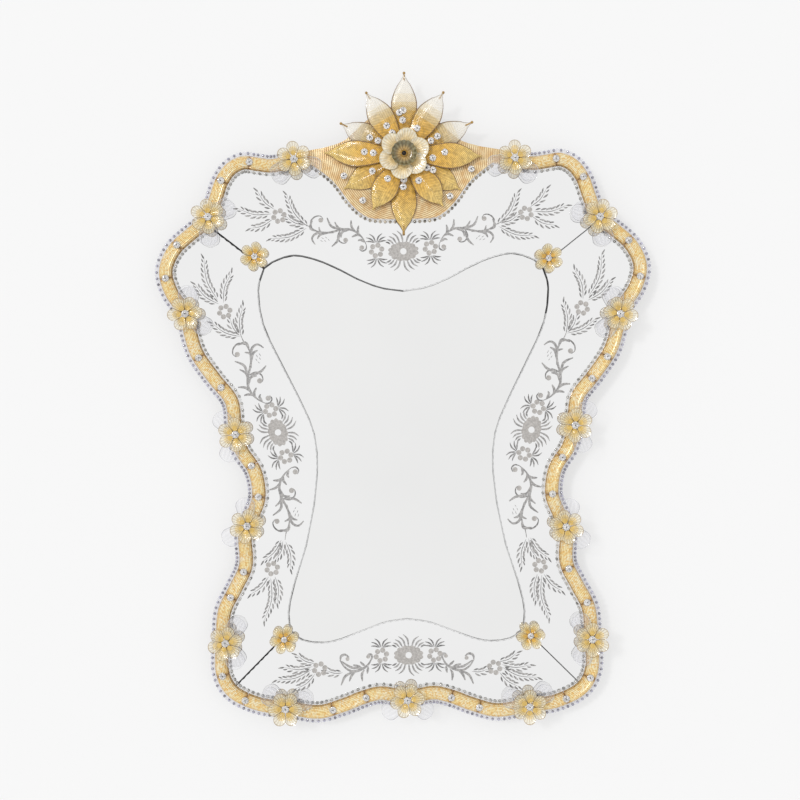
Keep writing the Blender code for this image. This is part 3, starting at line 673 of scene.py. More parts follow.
# Name, colour, alpha, and where they differ from what plain_glass gives: the tone of the clouds,
# their scale, the roughness and the clouds' range
PLAIN_GLASS = (
    # The rims are darker than their glass: painted shade for the dark that a thick glass edge refracts;
    # petal_rim also colours the flowers' stems
    ("petal_rim", (0.52, 0.38, 0.20), 0.6),
    ("leaf_rim", (0.56, 0.56, 0.60), 0.5),
    ("clear_ribbon", (0.80, 0.80, 0.80), 0.14),
    ("lavender_ribbon", (0.74, 0.74, 0.86), 0.2),
    ("blue_bead", (0.56, 0.56, 0.70), 0.85, 0.35, 110.0),
    ("grey_bead", (0.62, 0.61, 0.58), 0.9, 0.22, 110.0),
    ("dark_bead", (0.62, 0.54, 0.42), 0.9, 0.08, 110.0),
    ("amber_bead", (0.45, 0.25, 0.04), 1.0, 0.6),
    ("clear_button", (0.82, 0.80, 0.78), 1.0, 0.3, 480.0),
    ("speckled_button", (0.84, 0.81, 0.78), 1.0, 0.1, 520.0, 0.08, 0.38, 0.54),
    ("crest_rim", (0.22, 0.12, 0.04), 1.0),
    ("milky_rim", (0.80, 0.70, 0.48), 0.95),
    # The putty tones of the seam are painted shade and reflection of the plates' edges
    ("dark_putty", (0.03, 0.03, 0.03), 1.0, 0.96, 240.0, 0.6),
    ("grey_putty", (0.52, 0.52, 0.52), 1.0, 0.96, 240.0, 0.6),
    ("pale_putty", (0.66, 0.66, 0.66), 1.0, 0.96, 240.0, 0.6),
    ("slate_putty", (0.13, 0.13, 0.13), 1.0, 0.96, 240.0, 0.6),
)
# Name, darker tone, paler tone, roughness, scale and range of the patches, and metallic or not
PATCHY = (
    ("centre_mirror", (0.90, 0.90, 0.895), (0.94, 0.94, 0.935), 0.02, (2.2, 0.3, 0.7), 1.0),
    ("border_mirror", (0.92, 0.92, 0.92), (0.96, 0.96, 0.96), 0.02, (2.2, 0.3, 0.7), 1.0),
    ("frosted_cut", (0.34, 0.325, 0.31), (0.47, 0.45, 0.43), 0.75, (300.0,), 0.0),
    ("polished_cut", (0.22, 0.215, 0.215), (0.43, 0.42, 0.41), 0.5, (300.0,), 0.0),
    ("fine_cut", (0.11, 0.11, 0.11), (0.33, 0.32, 0.315), 0.5, (300.0,), 0.0),
    ("dark_pin", (0.03, 0.027, 0.025), (0.045, 0.0405, 0.0375), 0.35, (300.0,), 1.0),
    ("zinc", (0.42, 0.42, 0.43), (0.63, 0.63, 0.645), 0.35, (300.0,), 1.0),
)


def make_looks():
    for name, low, high, roughness, patch, metallic in PATCHY:
        patchy_material(name, low, high, roughness, patch, Metallic=metallic)
    wood_material("board_wood", (0.055, 0.033, 0.02), (0.17, 0.11, 0.07))
    wood_material("batten_wood", (0.12, 0.075, 0.045), (0.30, 0.20, 0.13))
    strip_material()
    panel_material()
    joint_material()
    for *values, others in RIBBED_GLASS:
        ribbed_glass(*values, **others)
    for values in PLAIN_GLASS:
        plain_glass(*values)


# Engraving: each cut is (middle line in mm, half widths along it)

def tapered_cut(points, width, fullest=0.35, end=0.25):
    """A curved cut that swells to its width and runs out to a share of it at its end."""
    path = Path(smooth_line(points, 4))
    count = max(3, round(path.total / SPINE_STEP))
    spine, halves = [], []
    for k in range(count + 1):
        t = k / count
        spot = path.at(t * path.total)[0]
        rise = t / fullest if t < fullest else (1 - t) / (1 - fullest)
        thin = CUT_START if t < fullest else end
        spine.append((spot.x, spot.y))
        halves.append(width / 2 * (thin + (1 - thin) * math.sin(rise * math.pi / 2)))
    return spine, halves


def dot_cut(x, z, radius):
    return [(x, z)], [radius]


def fern(start, tip):
    """A sprig: a thin stem with short leaves on both sides, shorter towards its tip."""
    a, b = Vector(start), Vector(tip)
    along = b - a
    side = square_to(along)
    stem = [a, a + along * 0.5 + side * SPRIG_BEND, b]
    cuts = [tapered_cut(stem, 1.5, 0.3)]
    path = Path(smooth_line(stem, 6))
    count = max(3, round(path.total / SPRIG_PITCH))
    for k in range(count):
        for hand in (-1, 1):
            t = (k + (0.35 if hand < 0 else 0.75)) / (count + 0.4)
            spot, d = path.at(t * path.total)
            out = square_to(d) * hand
            size = 0.85 + 0.4 * math.sin(math.pi * t) - 0.3 * t
            root = spot + out * SPRIG_LEAF_ROOT * size
            end = root + d * SPRIG_LEAF_REACH * size + out * SPRIG_LEAF_OUT * size
            middle = root.lerp(end, 0.5) + out * 0.6
            cuts.append(tapered_cut([root, middle, end], 2.7 * size + 0.6, 0.5))
    cuts.append(tapered_cut([b, b + along.normalized() * 11 + side * 0.03], 3.2, 0.3))
    return cuts


def dot_flower(x, z, ring=9.8, radius=4.8, turn=15):
    cuts = []
    for k in range(6):
        a = math.radians(turn + 60 * k)
        cuts.append(dot_cut(x + ring * math.cos(a), z + ring * math.sin(a), radius))
    return cuts


def fan(centre, axis, start, reaches, spread, width=3.5):
    """Curved rays that leave a flower along an axis and fall away to both sides."""
    c, axis = Vector(centre), Vector(axis).normalized()
    side = square_to(axis)
    last = (len(reaches) - 1) / 2
    cuts = []
    for k, reach in enumerate(reaches):
        t = (k - last) / last
        d = axis * math.cos(t * spread) + side * math.sin(t * spread)
        root = c + side * t * start[1] + axis * start[0]
        fall = side * math.copysign(1, t) * reach * FAN_FALL
        middle = root + d * reach * 0.55 + fall * 0.2
        end = root + d * reach * 0.86 + fall - axis * reach * 0.12 * abs(t)
        cuts.append(tapered_cut([root, middle, end], width, 0.45))
    return cuts


# The scroll of the top plate's left half, in mm; the other scrolls are turned copies
SCROLL_STEM = ((-66, -118), (-72, -106), (-82, -95), (-96, -88), (-112, -88), (-128, -92),
               (-146, -94), (-160, -89), (-172, -81), (-184, -76))
SCROLL_LEAVES = (
    ((-76, -101), (-84, -98), (-93, -102)), ((-79, -97), (-82, -90), (-80, -81)),
    ((-84, -94), (-93, -84), (-94, -71)), ((-98, -88), (-116, -86), (-124, -74)),
    ((-106, -87), (-129, -83), (-138, -66)), ((-96, -89), (-110, -92), (-113, -103)),
    ((-114, -89), (-119, -108), (-130, -119)), ((-134, -94), (-149, -94), (-153, -83)),
    ((-140, -95), (-151, -97), (-156, -105)), ((-126, -94), (-156, -94), (-166, -104), (-160, -115)),
    ((-157, -91), (-169, -85), (-165, -71)), ((-70, -112), (-77, -107), (-82, -109)),
)
SCROLL_CURLS = (
    (((-114, -88), (-119, -101), (-114, -111), (-105, -113), (-100, -108)), (-104.5, -107.5)),
    (((-165, -86), (-168, -73), (-160, -64), (-150, -63), (-145, -69)), (-149.5, -70.5)),
    (((-67, -116), (-67, -124), (-74, -128), (-80, -124)), (-75, -121.5)),
)
SCROLL_HATCH = (((-149, -102), (-144, -105)), ((-151, -107), (-146, -110)),
                ((-142, -101), (-138, -104)), ((-144, -107), (-140, -110)),
                ((-137, -105), (-134, -108)))


def placed_scroll(start, end, hand):
    """A copy of the scroll between two points; a hand of -1 turns it over."""
    s, e = Vector(SCROLL_STEM[0]), Vector(SCROLL_STEM[-1])
    along = (e - s).normalized()
    side = square_to(along)
    a, b = Vector(start), Vector(end)
    new_along = (b - a).normalized()
    new_side = square_to(new_along) * hand
    size = (b - a).length / (e - s).length
    wide = max(size, SCROLL_LEAST)

    def moved(point):
        rel = Vector(point) - s
        spot = a + (new_along * rel.dot(along) + new_side * rel.dot(side)) * size
        return (spot.x, spot.y)

    def cut(line, width, *shape):
        return tapered_cut([moved(p) for p in line], width * wide, *shape)

    cuts = [cut(SCROLL_STEM, 4.2, 0.35)]
    cuts += [cut(leaf, 4.6, 0.5, 0.4) for leaf in SCROLL_LEAVES]
    for line, dot in SCROLL_CURLS:
        cuts += [cut(line, 2.8, 0.4), dot_cut(*moved(dot), 4.4 * wide)]
    return cuts + [cut(dash, 1.1, 0.5) for dash in SCROLL_HATCH]


# The lower plate's scroll lies the other way up and has hanging leaves
LOW_SCROLL = (
    ((-65, -866), (-66, -876), (-76, -889), (-97, -897), (-113, -890), (-123, -876)),
    ((-78, -890), (-101, -890), (-120, -878)),
    ((-83, -890), (-91, -887), (-99, -885)),
    ((-76, -888), (-81, -884), (-86, -879)),
    ((-96, -897), (-113, -905), (-121, -922)),
    ((-92, -896), (-101, -903), (-106, -915)),
    ((-78, -894), (-83, -902), (-82, -915)),
    ((-71, -888), (-72, -894), (-73, -901)),
    ((-122, -878), (-121, -869), (-113, -866), (-106, -871)),
    ((-65, -876), (-64, -869), (-68, -865), (-72, -867)),
)
LOW_SCROLL_DOTS = ((-109, -874), (-71, -870))

# Each quarter pattern: scroll start and end, its hand, sprigs as (root, tip), flower middle
TOP_PATTERN = ((-66, -118), (-184, -76), 1,
               (((-174, -82), (-211, -24)), ((-176, -85), (-240, -103)), ((-180, -79), (-212, -64)),
                ((-234, -50), (-264, -17)), ((-240, -58), (-300, -48)), ((-238, -68), (-278, -84))),
               (-226, -62))
UPPER_PATTERN = ((-253, -405), (-299, -277), -1,
                 (((-340, -214), (-364, -139)), ((-338, -222), (-380, -186)),
                  ((-329, -220), (-314, -166)), ((-299, -282), (-350, -257)),
                  ((-297, -282), (-293, -226)), ((-300, -280), (-317, -250))),
                 (-327, -236))
LOWER_PATTERN = ((-207, -522), (-221, -655), 1,
                 (((-228, -655), (-260, -692)), ((-220, -658), (-212, -708)),
                  ((-225, -657), (-238, -690)), ((-252, -722), (-284, -753)),
                  ((-248, -724), (-261, -802)), ((-240, -722), (-237, -770))),
                 (-245, -707))
BOTTOM_PATTERN = (None, None, 0,
                  (((-118, -899), (-147, -895)), ((-168, -882), (-201, -866)),
                   ((-173, -887), (-225, -888)), ((-174, -892), (-238, -911)),
                   ((-169, -901), (-203, -927))),
                  (-160, -892))
# Each middle: centre, half length and half height of the scalloped field, and the two dot flowers
TOP_MIDDLE = ((1, -129), 27, 17, ((-48, -127), (50.5, -123)))
SIDE_MIDDLE = ((-232, -458), 25, 17, ((-245, -417), (-218, -502)))
BOTTOM_MIDDLE = ((3, -868), 26, 17, ((-47, -868), (51, -868)))


def pattern_cuts(pattern):
    start, end, hand, sprigs, flower = pattern
    if hand:
        cuts = placed_scroll(start, end, hand)
    else:
        cuts = [tapered_cut(line, 4.8, 0.45, 0.4) for line in LOW_SCROLL]
        cuts += [dot_cut(x, z, 3.7) for x, z in LOW_SCROLL_DOTS]
    for root, tip in sprigs:
        cuts += fern(root, tip)
    return cuts + dot_flower(*flower)


def middle_axes(middle):
    """The directions along and across a middle, from its two dot flowers."""
    a, b = (Vector(spot) for spot in middle[3])
    along = (b - a).normalized()
    return along, square_to(along)


def middle_cuts(middle):
    centre, half_long, half_high, flowers = middle
    up = middle_axes(middle)[1]
    cuts = []
    for hand in (-1, 1):
        reaches = (9, 14, 20, 25, 28, 25, 20, 14, 9)
        cuts += fan(centre, up * hand, (half_high - 3, half_long - 4), reaches, 0.8)
        for spot in flowers:
            cuts += fan(spot, up * hand, (14.5, 4), (13, 17, 20, 20, 17, 13), 1.2, 3.0)
    for spot in flowers:
        cuts += dot_flower(*spot)
    return cuts


def scalloped_field(middle):
    """The frosted field of a middle flower: an oval with a lobed edge, in mm."""
    centre, half_long, half_high, _ = middle
    along, up = middle_axes(middle)
    outline = []
    for k in range(FIELD_POINTS):
        a = k / FIELD_POINTS * math.tau
        swell = 1 + 0.12 * abs(math.sin(FIELD_LOBES / 2 * a)) - 0.06
        reach = along * half_long * math.cos(a) + up * half_high * math.sin(a)
        spot = Vector(centre) + reach * swell
        outline.append((spot.x, spot.y))
    return outline


def cut_outline(spine, halves):
    """The outline of a cut, as a closed ring in mm."""
    if len(spine) == 1:
        return circle(*spine[0], halves[0], 16)
    left, right = [], []
    for i, (x, z) in enumerate(spine):
        d = direction_at(spine, i)
        left.append((x - d.y * halves[i], z + d.x * halves[i]))
        right.append((x + d.y * halves[i], z - d.x * halves[i]))
    return left + right[::-1]


def cut_kind(spine, halves):
    if len(spine) == 1:
        return "frosted"
    return "fine" if max(halves) < FINE_CUT else "stroke"


def engraved_plate(name, outline, cuts, fields):
    """A mirror plate whose front is cut: every cut is a real groove with a frosted wall."""
    points, faces, edges, kinds = [], [], [], []

    def add_ring(ring, kind):
        # The triangulation takes a ring's inside from its direction
        turn = sum(a[0] * b[1] - b[0] * a[1] for a, b in zip(ring, [*ring[1:], ring[0]]))
        if turn < 0:
            ring = ring[::-1]
        faces.append(list(range(len(points), len(points) + len(ring))))
        points.extend(Vector(p) for p in ring)
        kinds.append(kind)

    add_ring([(x / MM, z / MM) for x, z in outline], "plate")
    for spine, halves in cuts:
        add_ring(cut_outline(spine, halves), cut_kind(spine, halves))
        first = len(points)
        points.extend(Vector(p) for p in spine)
        edges.extend((first + i, first + i + 1) for i in range(len(spine) - 1))
    for centre, field in fields:
        add_ring(field, "frosted")
        add_ring(circle(*centre, MIDDLE_CLEAR, 24), "clear")
    made, _, tris, _, _, from_faces = delaunay_2d_cdt(points, edges, faces, 1, 1e-4)
    depth = cut_depths(np.array([tuple(p) for p in made]), cuts)
    marks = []
    for tri, owners in zip(tris, from_faces):
        owned = {kinds[i] for i in owners}
        if "plate" not in owned:
            continue
        mark = 0
        if "frosted" in owned and "clear" not in owned:
            mark = 1
        elif "stroke" in owned:
            mark = 2
        elif "fine" in owned:
            mark = 3
        marks.append((tri, mark))
        if mark == 0:
            # The uncut face of the plate stays level
            depth[list(tri)] = 0.0
    bm = bmesh.new()
    verts = [bm.verts.new((p.x * MM, -PLATE_FRONT + d * MM, p.y * MM)) for p, d in zip(made, depth)]
    for tri, mark in marks:
        bm.faces.new([verts[i] for i in tri]).material_index = mark
    bmesh.ops.delete(bm, geom=[v for v in bm.verts if not v.link_faces], context='VERTS')
    bmesh.ops.recalc_face_normals(bm, faces=bm.faces)
    draw_out(bm, [e for e in bm.edges if e.is_boundary], (0, PLATE_FRONT - PLATE_BACK, 0))
    bmesh.ops.holes_fill(bm, edges=[e for e in bm.edges if e.is_boundary], sides=0)
    add_piece(f"{name}_engraved", bm, ("border_mirror", "frosted_cut", "polished_cut", "fine_cut"),
              "mirror_glass", [name], None)


def cut_depths(spots, cuts):
    """How deep each point lies in mm: deepest on a cut's middle line, nothing at its edge."""
    starts, ends, start_half, end_half = [], [], [], []
    for spine, halves in cuts:
        if len(spine) == 1:
            pairs = [(spine[0], spine[0], halves[0], halves[0])]
        else:
            pairs = zip(spine, spine[1:], halves, halves[1:])
        for a, b, p, q in pairs:
            starts.append(a)
            ends.append(b)
            start_half.append(p)
            end_half.append(q)
    a, b = np.array(starts), np.array(ends)
    p, q = np.array(start_half), np.array(end_half)
    run = b - a
    square = np.maximum((run ** 2).sum(1), 1e-9)
    deepest = np.zeros(len(spots))
    for first in range(0, len(spots), 2000):
        block = spots[first:first + 2000]
        rel = block[:, None, :] - a[None]
        t = np.clip((rel * run[None]).sum(2) / square, 0, 1)
        away = np.sqrt(((rel - t[..., None] * run[None]) ** 2).sum(2))
        half = p + (q - p) * t
        share = np.clip(1 - away / half, 0, 1)
        deepest[first:first + 2000] = (share * np.minimum(half / 1.5, 1)).max(1)
    return deepest * CUT_DEPTH / MM


def part_of(line, *cuts):
    """What is left of a line after straight cuts; each keeps half a joint's width away."""
    for point, normal in cuts:
        line = kept_side(line, point + normal * JOINT / 2, normal)
    return line


def turned_over(cuts):
    return [(mirrored(spine), halves) for spine, halves in cuts]


def make_plates():
    outer = offset_line(FRAME.line, PLATE_LEDGE)
    inner = offset_line(SHEET, SEAM)
    joints = []
    for outside, corner in ((UPPER_JOINT, PLATE_TOP[-1]), (LOWER_JOINT, PLATE_BOTTOM[0])):
        a, b = Vector(on_front(outside)), Vector(on_front(corner))
        up = square_to((a - b).normalized())
        joints.append((a, -up if up.y < 0 else up))
    (upper, upper_up), (lower, lower_up) = joints

    for name, pattern, middle, cut in (
            ("mirror_top", TOP_PATTERN, TOP_MIDDLE, (upper, upper_up)),
            ("mirror_bottom", BOTTOM_PATTERN, BOTTOM_MIDDLE, (lower, -lower_up))):
        cuts = pattern_cuts(pattern)
        outline = whole(part_of(outer, cut)) + whole(part_of(inner, cut))[::-1]
        engraved_plate(name, outline, cuts + turned_over(cuts) + middle_cuts(middle),
                       [(middle[0], scalloped_field(middle))])

    cuts = ((upper, -upper_up), (lower, lower_up))
    right = part_of(outer, *cuts) + part_of(inner, *cuts)[::-1]
    cuts = pattern_cuts(UPPER_PATTERN) + pattern_cuts(LOWER_PATTERN) + middle_cuts(SIDE_MIDDLE)
    spot, field = SIDE_MIDDLE[0], scalloped_field(SIDE_MIDDLE)
    engraved_plate("mirror_left", mirrored(right), cuts, [(spot, field)])
    engraved_plate("mirror_right", right, turned_over(cuts), [((-spot[0], spot[1]), mirrored(field))])


# Gold strips and rosettes

def strip_profile():
    """(offset outwards, distance from the wall, painted light 0 to 1) around a ribbed strip; the
    painted light darkens the grooves and the edges.
    """
    half = BAR_EDGE
    shoulder = half - STRIP_SHOULDER
    spots = [(-half, TRIM_BACK, GROOVE_LIGHT), (half, TRIM_BACK, GROOVE_LIGHT)]
    count = STRIP_RIBS * RIB_STEPS
    for k in range(count + 1):
        side = shoulder * (1 - 2 * k / count)
        crown = (BAR_FRONT - TRIM_BACK - STRIP_SIDE) * (1 - (side / shoulder) ** 2)
        ridge = 0.5 - 0.5 * math.cos(k / RIB_STEPS * math.tau)
        depth = TRIM_BACK + STRIP_SIDE + crown - RIB_DEPTH * (1 - ridge)
        # Painted shade: darker in each groove, and fading towards the strip's edges
        lit = GROOVE_LIGHT + (1 - GROOVE_LIGHT) * ridge
        shown = lit * (1 - FLANK_SHADE * (side / shoulder) ** 4)
        spots.append((side, depth, shown))
    return spots


def ribbed_strip(bm, start, end, side):
    """One ribbed strip along the frame between two distances, closed at both ends."""
    ridge, near = float_layers(bm, "ridge", "end")
    count = max(4, round((end - start) / STRIP_STEP))
    profile = strip_profile()
    ring = bmesh.ops.create_circle(bm, cap_ends=True, segments=len(profile), radius=1)["verts"]
    face = ring[0].link_faces[0]
    for v, (x, depth, value) in zip(ring, profile):
        v.co = (x, -depth, 0)
        v[ridge] = value
    before = None
    for k in range(count + 1):
        t = k / count
        spot, d = FRAME.at(start + (end - start) * t)
        hand = -1 if side == "left" else 1
        away = min(t, 1 - t) * (end - start)
        crown = 1 - 0.12 * max(0.0, 1 - away / STRIP_END_FALL)
        place = Matrix(((-d.y * hand, 0, d.x * hand, spot.x * hand),
                        (0, crown, 0, TRIM_BACK * (crown - 1)),
                        (d.x, 0, d.y, spot.y), (0, 0, 0, 1)))
        if before is None:
            verts = list(ring)
            bmesh.ops.transform(bm, matrix=place, verts=verts)
        else:
            verts, (face,) = extruded(bm, [face])
            bmesh.ops.transform(bm, matrix=place @ before.inverted(), verts=verts)
        for v in verts:
            v[near] = max(0.0, 1 - away / STRIP_END_DARK) ** 2
        before = place


def make_strips():
    sides = (("left", LEFT_SHARES, LEFT_ROSETTES), ("right", RIGHT_SHARES, RIGHT_ROSETTES))
    for side, shares, rosettes in sides:
        stations = [share * FRAME.total for share in shares] + [FRAME.total]
        for k, (a, b) in enumerate(zip(stations, stations[1:])):
            joints = [share * FRAME.total for share in rosettes[2 * k:2 * k + 2]]
            cuts = [a + BAR_END_CLEARANCE, *joints, b - BAR_END_CLEARANCE]
            bm = bmesh.new()
            for start, end in zip(cuts, cuts[1:]):
                ribbed_strip(bm, start + STRIP_GAP / 2, end - STRIP_GAP / 2, side)
            name = f"gold_bar_{side}_{k + 1}"
            add_piece(f"{name}_ribbed", bm, ["gold_strip"], "gold_glass", [name], 35)


def rosette_mesh(radius, materials=(0, 1), pin_share=0.16):
    """A round scalloped glass button with a dark pin through its middle, facing -Y."""
    clear, dark = materials
    bm = bmesh.new()
    ring = bmesh.ops.create_circle(bm, cap_ends=True, segments=20, radius=radius)["verts"]
    for k, v in enumerate(ring):
        swell = 1.0 if k % 2 == 0 else 0.86
        v.co = (v.co.x * swell, 0, v.co.y * swell)
    face = ring[0].link_faces[0]
    for rise, size in ((0.9 * MM, 1.06), (0.9 * MM, 0.74), (0.5 * MM, 0.5)):
        verts, (face,) = extruded(bm, [face])
        bmesh.ops.scale(bm, vec=(size, 1, size), verts=verts)
        bmesh.ops.translate(bm, vec=(0, -rise, 0), verts=verts)
    for f in bm.faces:
        f.material_index = clear
    pin = bmesh.ops.create_uvsphere(bm, u_segments=8, v_segments=5,
                                    radius=radius * pin_share)["verts"]
    bmesh.ops.translate(bm, vec=(0, -2.3 * MM, 0), verts=pin)
    paint(pin, dark)
    return small_mesh(bm)


def make_rosettes():
    bm = bmesh.new()
    button = rosette_mesh(ROSETTE_RADIUS)
    for x, z in frame_spots(LEFT_ROSETTES, RIGHT_ROSETTES):
        stamp(bm, button, Matrix.Translation((x, -ROSETTE_DEPTH, z)))
    add_piece("strip_rosettes", bm, ("clear_button", "dark_pin"), "clear_glass", smooth=40)


# Petals and leaves

def glass_sheet(bm, rows, spot_at, zone_at, thickness):
    """A sheet of rows from its root to its tip; spot_at gives each point's place, fan and leaf."""
    lines = len(PETAL_ACROSS) - 1
    fan_layer, leaf_layer = float_layers(bm, "fan", "leaf")
    made = bmesh.ops.create_grid(bm, x_segments=rows, y_segments=lines, size=0.5)["verts"]
    rank = {}
    for v in made:
        i = round((v.co.x + 0.5) * rows)
        j = round((v.co.y + 0.5) * lines)
        v.co, v[fan_layer], v[leaf_layer] = spot_at(i, PETAL_ACROSS[j])
        rank[v] = (i, j)
    faces = list({f for v in made for f in v.link_faces})
    for f in faces:
        row = min(rank[v][0] for v in f.verts)
        line = min(rank[v][1] for v in f.verts)
        f.material_index = zone_at(row, line in (0, lines - 1))
    thicken(bm, faces, thickness)


def petal_spot(centre, angle, away, side, depth):
    """A place on the front, from its distance along a petal and to the petal's side."""
    return (centre[0] + away * math.cos(angle) - side * math.sin(angle), -depth,
            centre[1] + away * math.sin(angle) + side * math.cos(angle))


def petal_ring(bm, centre, turn, shape, neck, cup, zones, thickness, tilt, swing=42):
    """Six scoop petals: each is a fan of rays from its root to a round rim with a raised bead."""
    root, middle, radius = shape
    root_zone, middle_zone, body_zone, rim_zone = zones
    rows = len(PETAL_STOPS) - 1
    reach = middle - root

    def zone_at(row, at_edge):
        if row >= rows - 1 or (row >= PETAL_ROOT_ROWS and at_edge):
            return rim_zone
        if row < PETAL_ROOT_ROWS:
            return root_zone
        return middle_zone if row < PETAL_MIDDLE_ROWS else body_zone

    def one_petal(angle):
        def spot_at(i, w):
            u = PETAL_STOPS[i]
            swung = math.radians(swing) * w
            chord = math.sqrt(max(radius ** 2 - (reach * math.sin(swung)) ** 2, 0))
            ray = reach * math.cos(swung) + chord
            away = root + u * ray * math.cos(swung)
            side = u * ray * math.sin(swung)
            r = math.hypot(away, side)
            share = (r - root) / (middle + radius - root)
            depth = neck + cup * share ** 2 + tilt * w * u + PETAL_DISH * u * w * w
            if i >= rows - 1 or abs(w) == 1:
                depth += RIM_BEAD
            return (petal_spot(centre, angle, away, side, depth), (w + 1) / 2,
                    min(1.0, max(0.0, (0.92 - u) / 0.45)))

        glass_sheet(bm, rows, spot_at, zone_at, thickness)

    for k in range(6):
        one_petal(turn + k * math.tau / 6)


def flower_leaf(bm, centre, angle, zones):
    """A long clear leaf under a flower: widest towards its round end, with a rim and ribs."""
    body_zone, rim_zone = zones
    rows = 14
    stops, widths = zip(*smooth_line(LEAF_OUTLINE, 6))

    def spot_at(i, w):
        u = math.sin(i / rows * math.pi / 2)
        half = float(np.interp(u, stops, widths)) * LEAF_WIDTH / 2
        bead = LEAF_BEAD if i == rows or abs(w) == 1 else 0
        depth = BAR_FRONT + GAP + LEAF_LIFT * (1 - w * w) + bead
        return (petal_spot(centre, angle, u * LEAF_REACH, w * half, depth), (w + 1) / 2,
                max(0.0, 1 - u / 0.5))

    def zone_at(row, at_edge):
        return rim_zone if row == rows - 1 or at_edge else body_zone

    glass_sheet(bm, rows, spot_at, zone_at, LEAF_THICKNESS)


def frame_flower(name, centre, direction, leaf_side, turn):
    bm = bmesh.new()
    petal_ring(bm, centre, turn, FRAME_PETAL, FLOWER_NECK, PETAL_CUP, (0, 7, 1, 2), 1.2 * MM,
               1.1 * MM)
    outward = math.atan2(direction.x, -direction.y)
    toward = outward if leaf_side > 0 else outward + math.pi
    for end in (-1, 1):
        flower_leaf(bm, centre, toward + end * (math.pi / 2 - LEAF_SPLAY), (3, 6))
    paint(stud(bm, centre, FLOWER_NECK + FLOWER_HEAD, TRIM_BACK, (5 * MM, 5.5 * MM)), 2)
    place = Matrix.Translation((centre[0], -FLOWER_NECK - 1.6 * MM, centre[1]))
    stamp(bm, rosette_mesh(FRAME_BUTTON_RADIUS, (4, 5)), place)
    add_piece(f"{name}_glass", bm, ("gold_petal", "clear_petal", "petal_rim", "clear_leaf",
                                    "clear_button", "dark_pin", "leaf_rim", "half_petal"),
              "clear_glass", [name])


def make_frame_flowers():
    sides = (("left", LEFT_SHARES, LEFT_TURNS), ("right", RIGHT_SHARES, RIGHT_TURNS))
    for side, shares, turns in sides:
        for k, share in enumerate(shares):
            spot, d = FRAME.at(share * FRAME.total)
            if side == "left":
                spot = spot - square_to(d) * LEFT_SET_IN[k]
                spot, d = Vector((-spot.x, spot.y)), Vector((d.x, -d.y))
            frame_flower(f"flower_{side}_{k + 1}", spot, d, LEAF_SIDES[k], math.radians(turns[k]))
    frame_flower("flower_bottom", Vector(FRAME.line[-1]), Vector((-1, 0)), 1,
                 math.radians(BOTTOM_TURN))


def make_corner_flowers():
    for k, place in enumerate(CORNER_PLACES):
        centre = on_front(place)
        bm = bmesh.new()
        petal_ring(bm, centre, math.radians(CORNER_TURNS[k]), CORNER_PETAL, CORNER_NECK, PETAL_CUP,
                   (0, 5, 1, 2), 1.1 * MM, 0.9 * MM)
        stud(bm, centre, CORNER_NECK + MM, TRIM_BACK, (5 * MM, 5 * MM))
        place = Matrix.Translation((centre[0], -CORNER_NECK - FLOWER_HEAD, centre[1]))
        stamp(bm, rosette_mesh(CORNER_BUTTON_RADIUS, (3, 4)), place)
        add_piece(f"corner_flower_{k + 1}_glass", bm,
                  ("corner_gold", "corner_petal", "petal_rim", "clear_button", "dark_pin",
                   "corner_half"), "clear_glass", [f"corner_flower_{k + 1}"])


# Edgings

def crimped_ribbon(bm, line, inner, outer, back, pitch, wave, thickness):
    """A thin glass ribbon along a line, pinched at an even pitch."""
    path = Path(line)
    count = round(path.total / pitch) * RIBBON_STEPS
    made = bmesh.ops.create_grid(bm, x_segments=count, y_segments=2, size=0.5)["verts"]
    spots = [path.at(path.total * k / count) for k in range(count + 1)]
    for v in made:
        k = round((v.co.x + 0.5) * count)
        t = v.co.y + 0.5
        spot, d = spots[k]
        swell = math.cos(k / RIBBON_STEPS * math.tau)
        side = inner + (outer - inner) * t + (outer - inner) * RIBBON_SWELL * swell * t
        depth = back + wave * (0.5 + 0.5 * swell) * t
        v.co = (spot.x - d.y * side, -depth, spot.y + d.x * side)
    faces = list({f for v in made for f in v.link_faces})
    thicken(bm, faces, thickness)
    return faces


def bead_row(bm, line, side, depth, pitch, size, shape):
    """Small drops of glass along a line."""
    path = Path(line)
    count = round(path.total / pitch)
    drop = bmesh.new()
    bmesh.ops.create_uvsphere(drop, u_segments=8, v_segments=6, radius=size / 2)
    bmesh.ops.scale(drop, vec=shape, verts=drop.verts)
    bead = small_mesh(drop, 1)
    for k in range(count):
        spot, d = path.at((k + 0.5) / count * path.total)
        place = Matrix.Translation((spot.x - d.y * side, -depth, spot.y + d.x * side))
        stamp(bm, bead, place @ Matrix.Rotation(-math.atan2(d.y, d.x), 4, 'Y'))


def edging(name, path, shape, looks):
    """A crimped ribbon with a row of beads on it, as one of the EDGING constants says."""
    pitch, ribbon, (side, depth, size, bead_shape) = shape
    bm = bmesh.new()
    crimped_ribbon(bm, path, *ribbon, pitch, RIBBON_WAVE, RIBBON_THICKNESS)
    bead_row(bm, path, side, depth, pitch, size, bead_shape)
    add_piece(f"{name}_glass", bm, looks, "clear_glass", [name])


def make_edgings():
    # Down the right side from its first flower, round the bottom and up the left side
    half = Path(half_line(FRAME_LINE, 6))
    path = half.beyond(RIGHT_SHARES[0]) + mirrored(half.beyond(LEFT_SHARES[0]))[::-1][1:]
    edging("outer_edging", path, OUTER_EDGING, ("lavender_ribbon", "blue_bead"))
    edging("inner_edging", path, INNER_EDGING, ("clear_ribbon", "grey_bead"))


# Crest

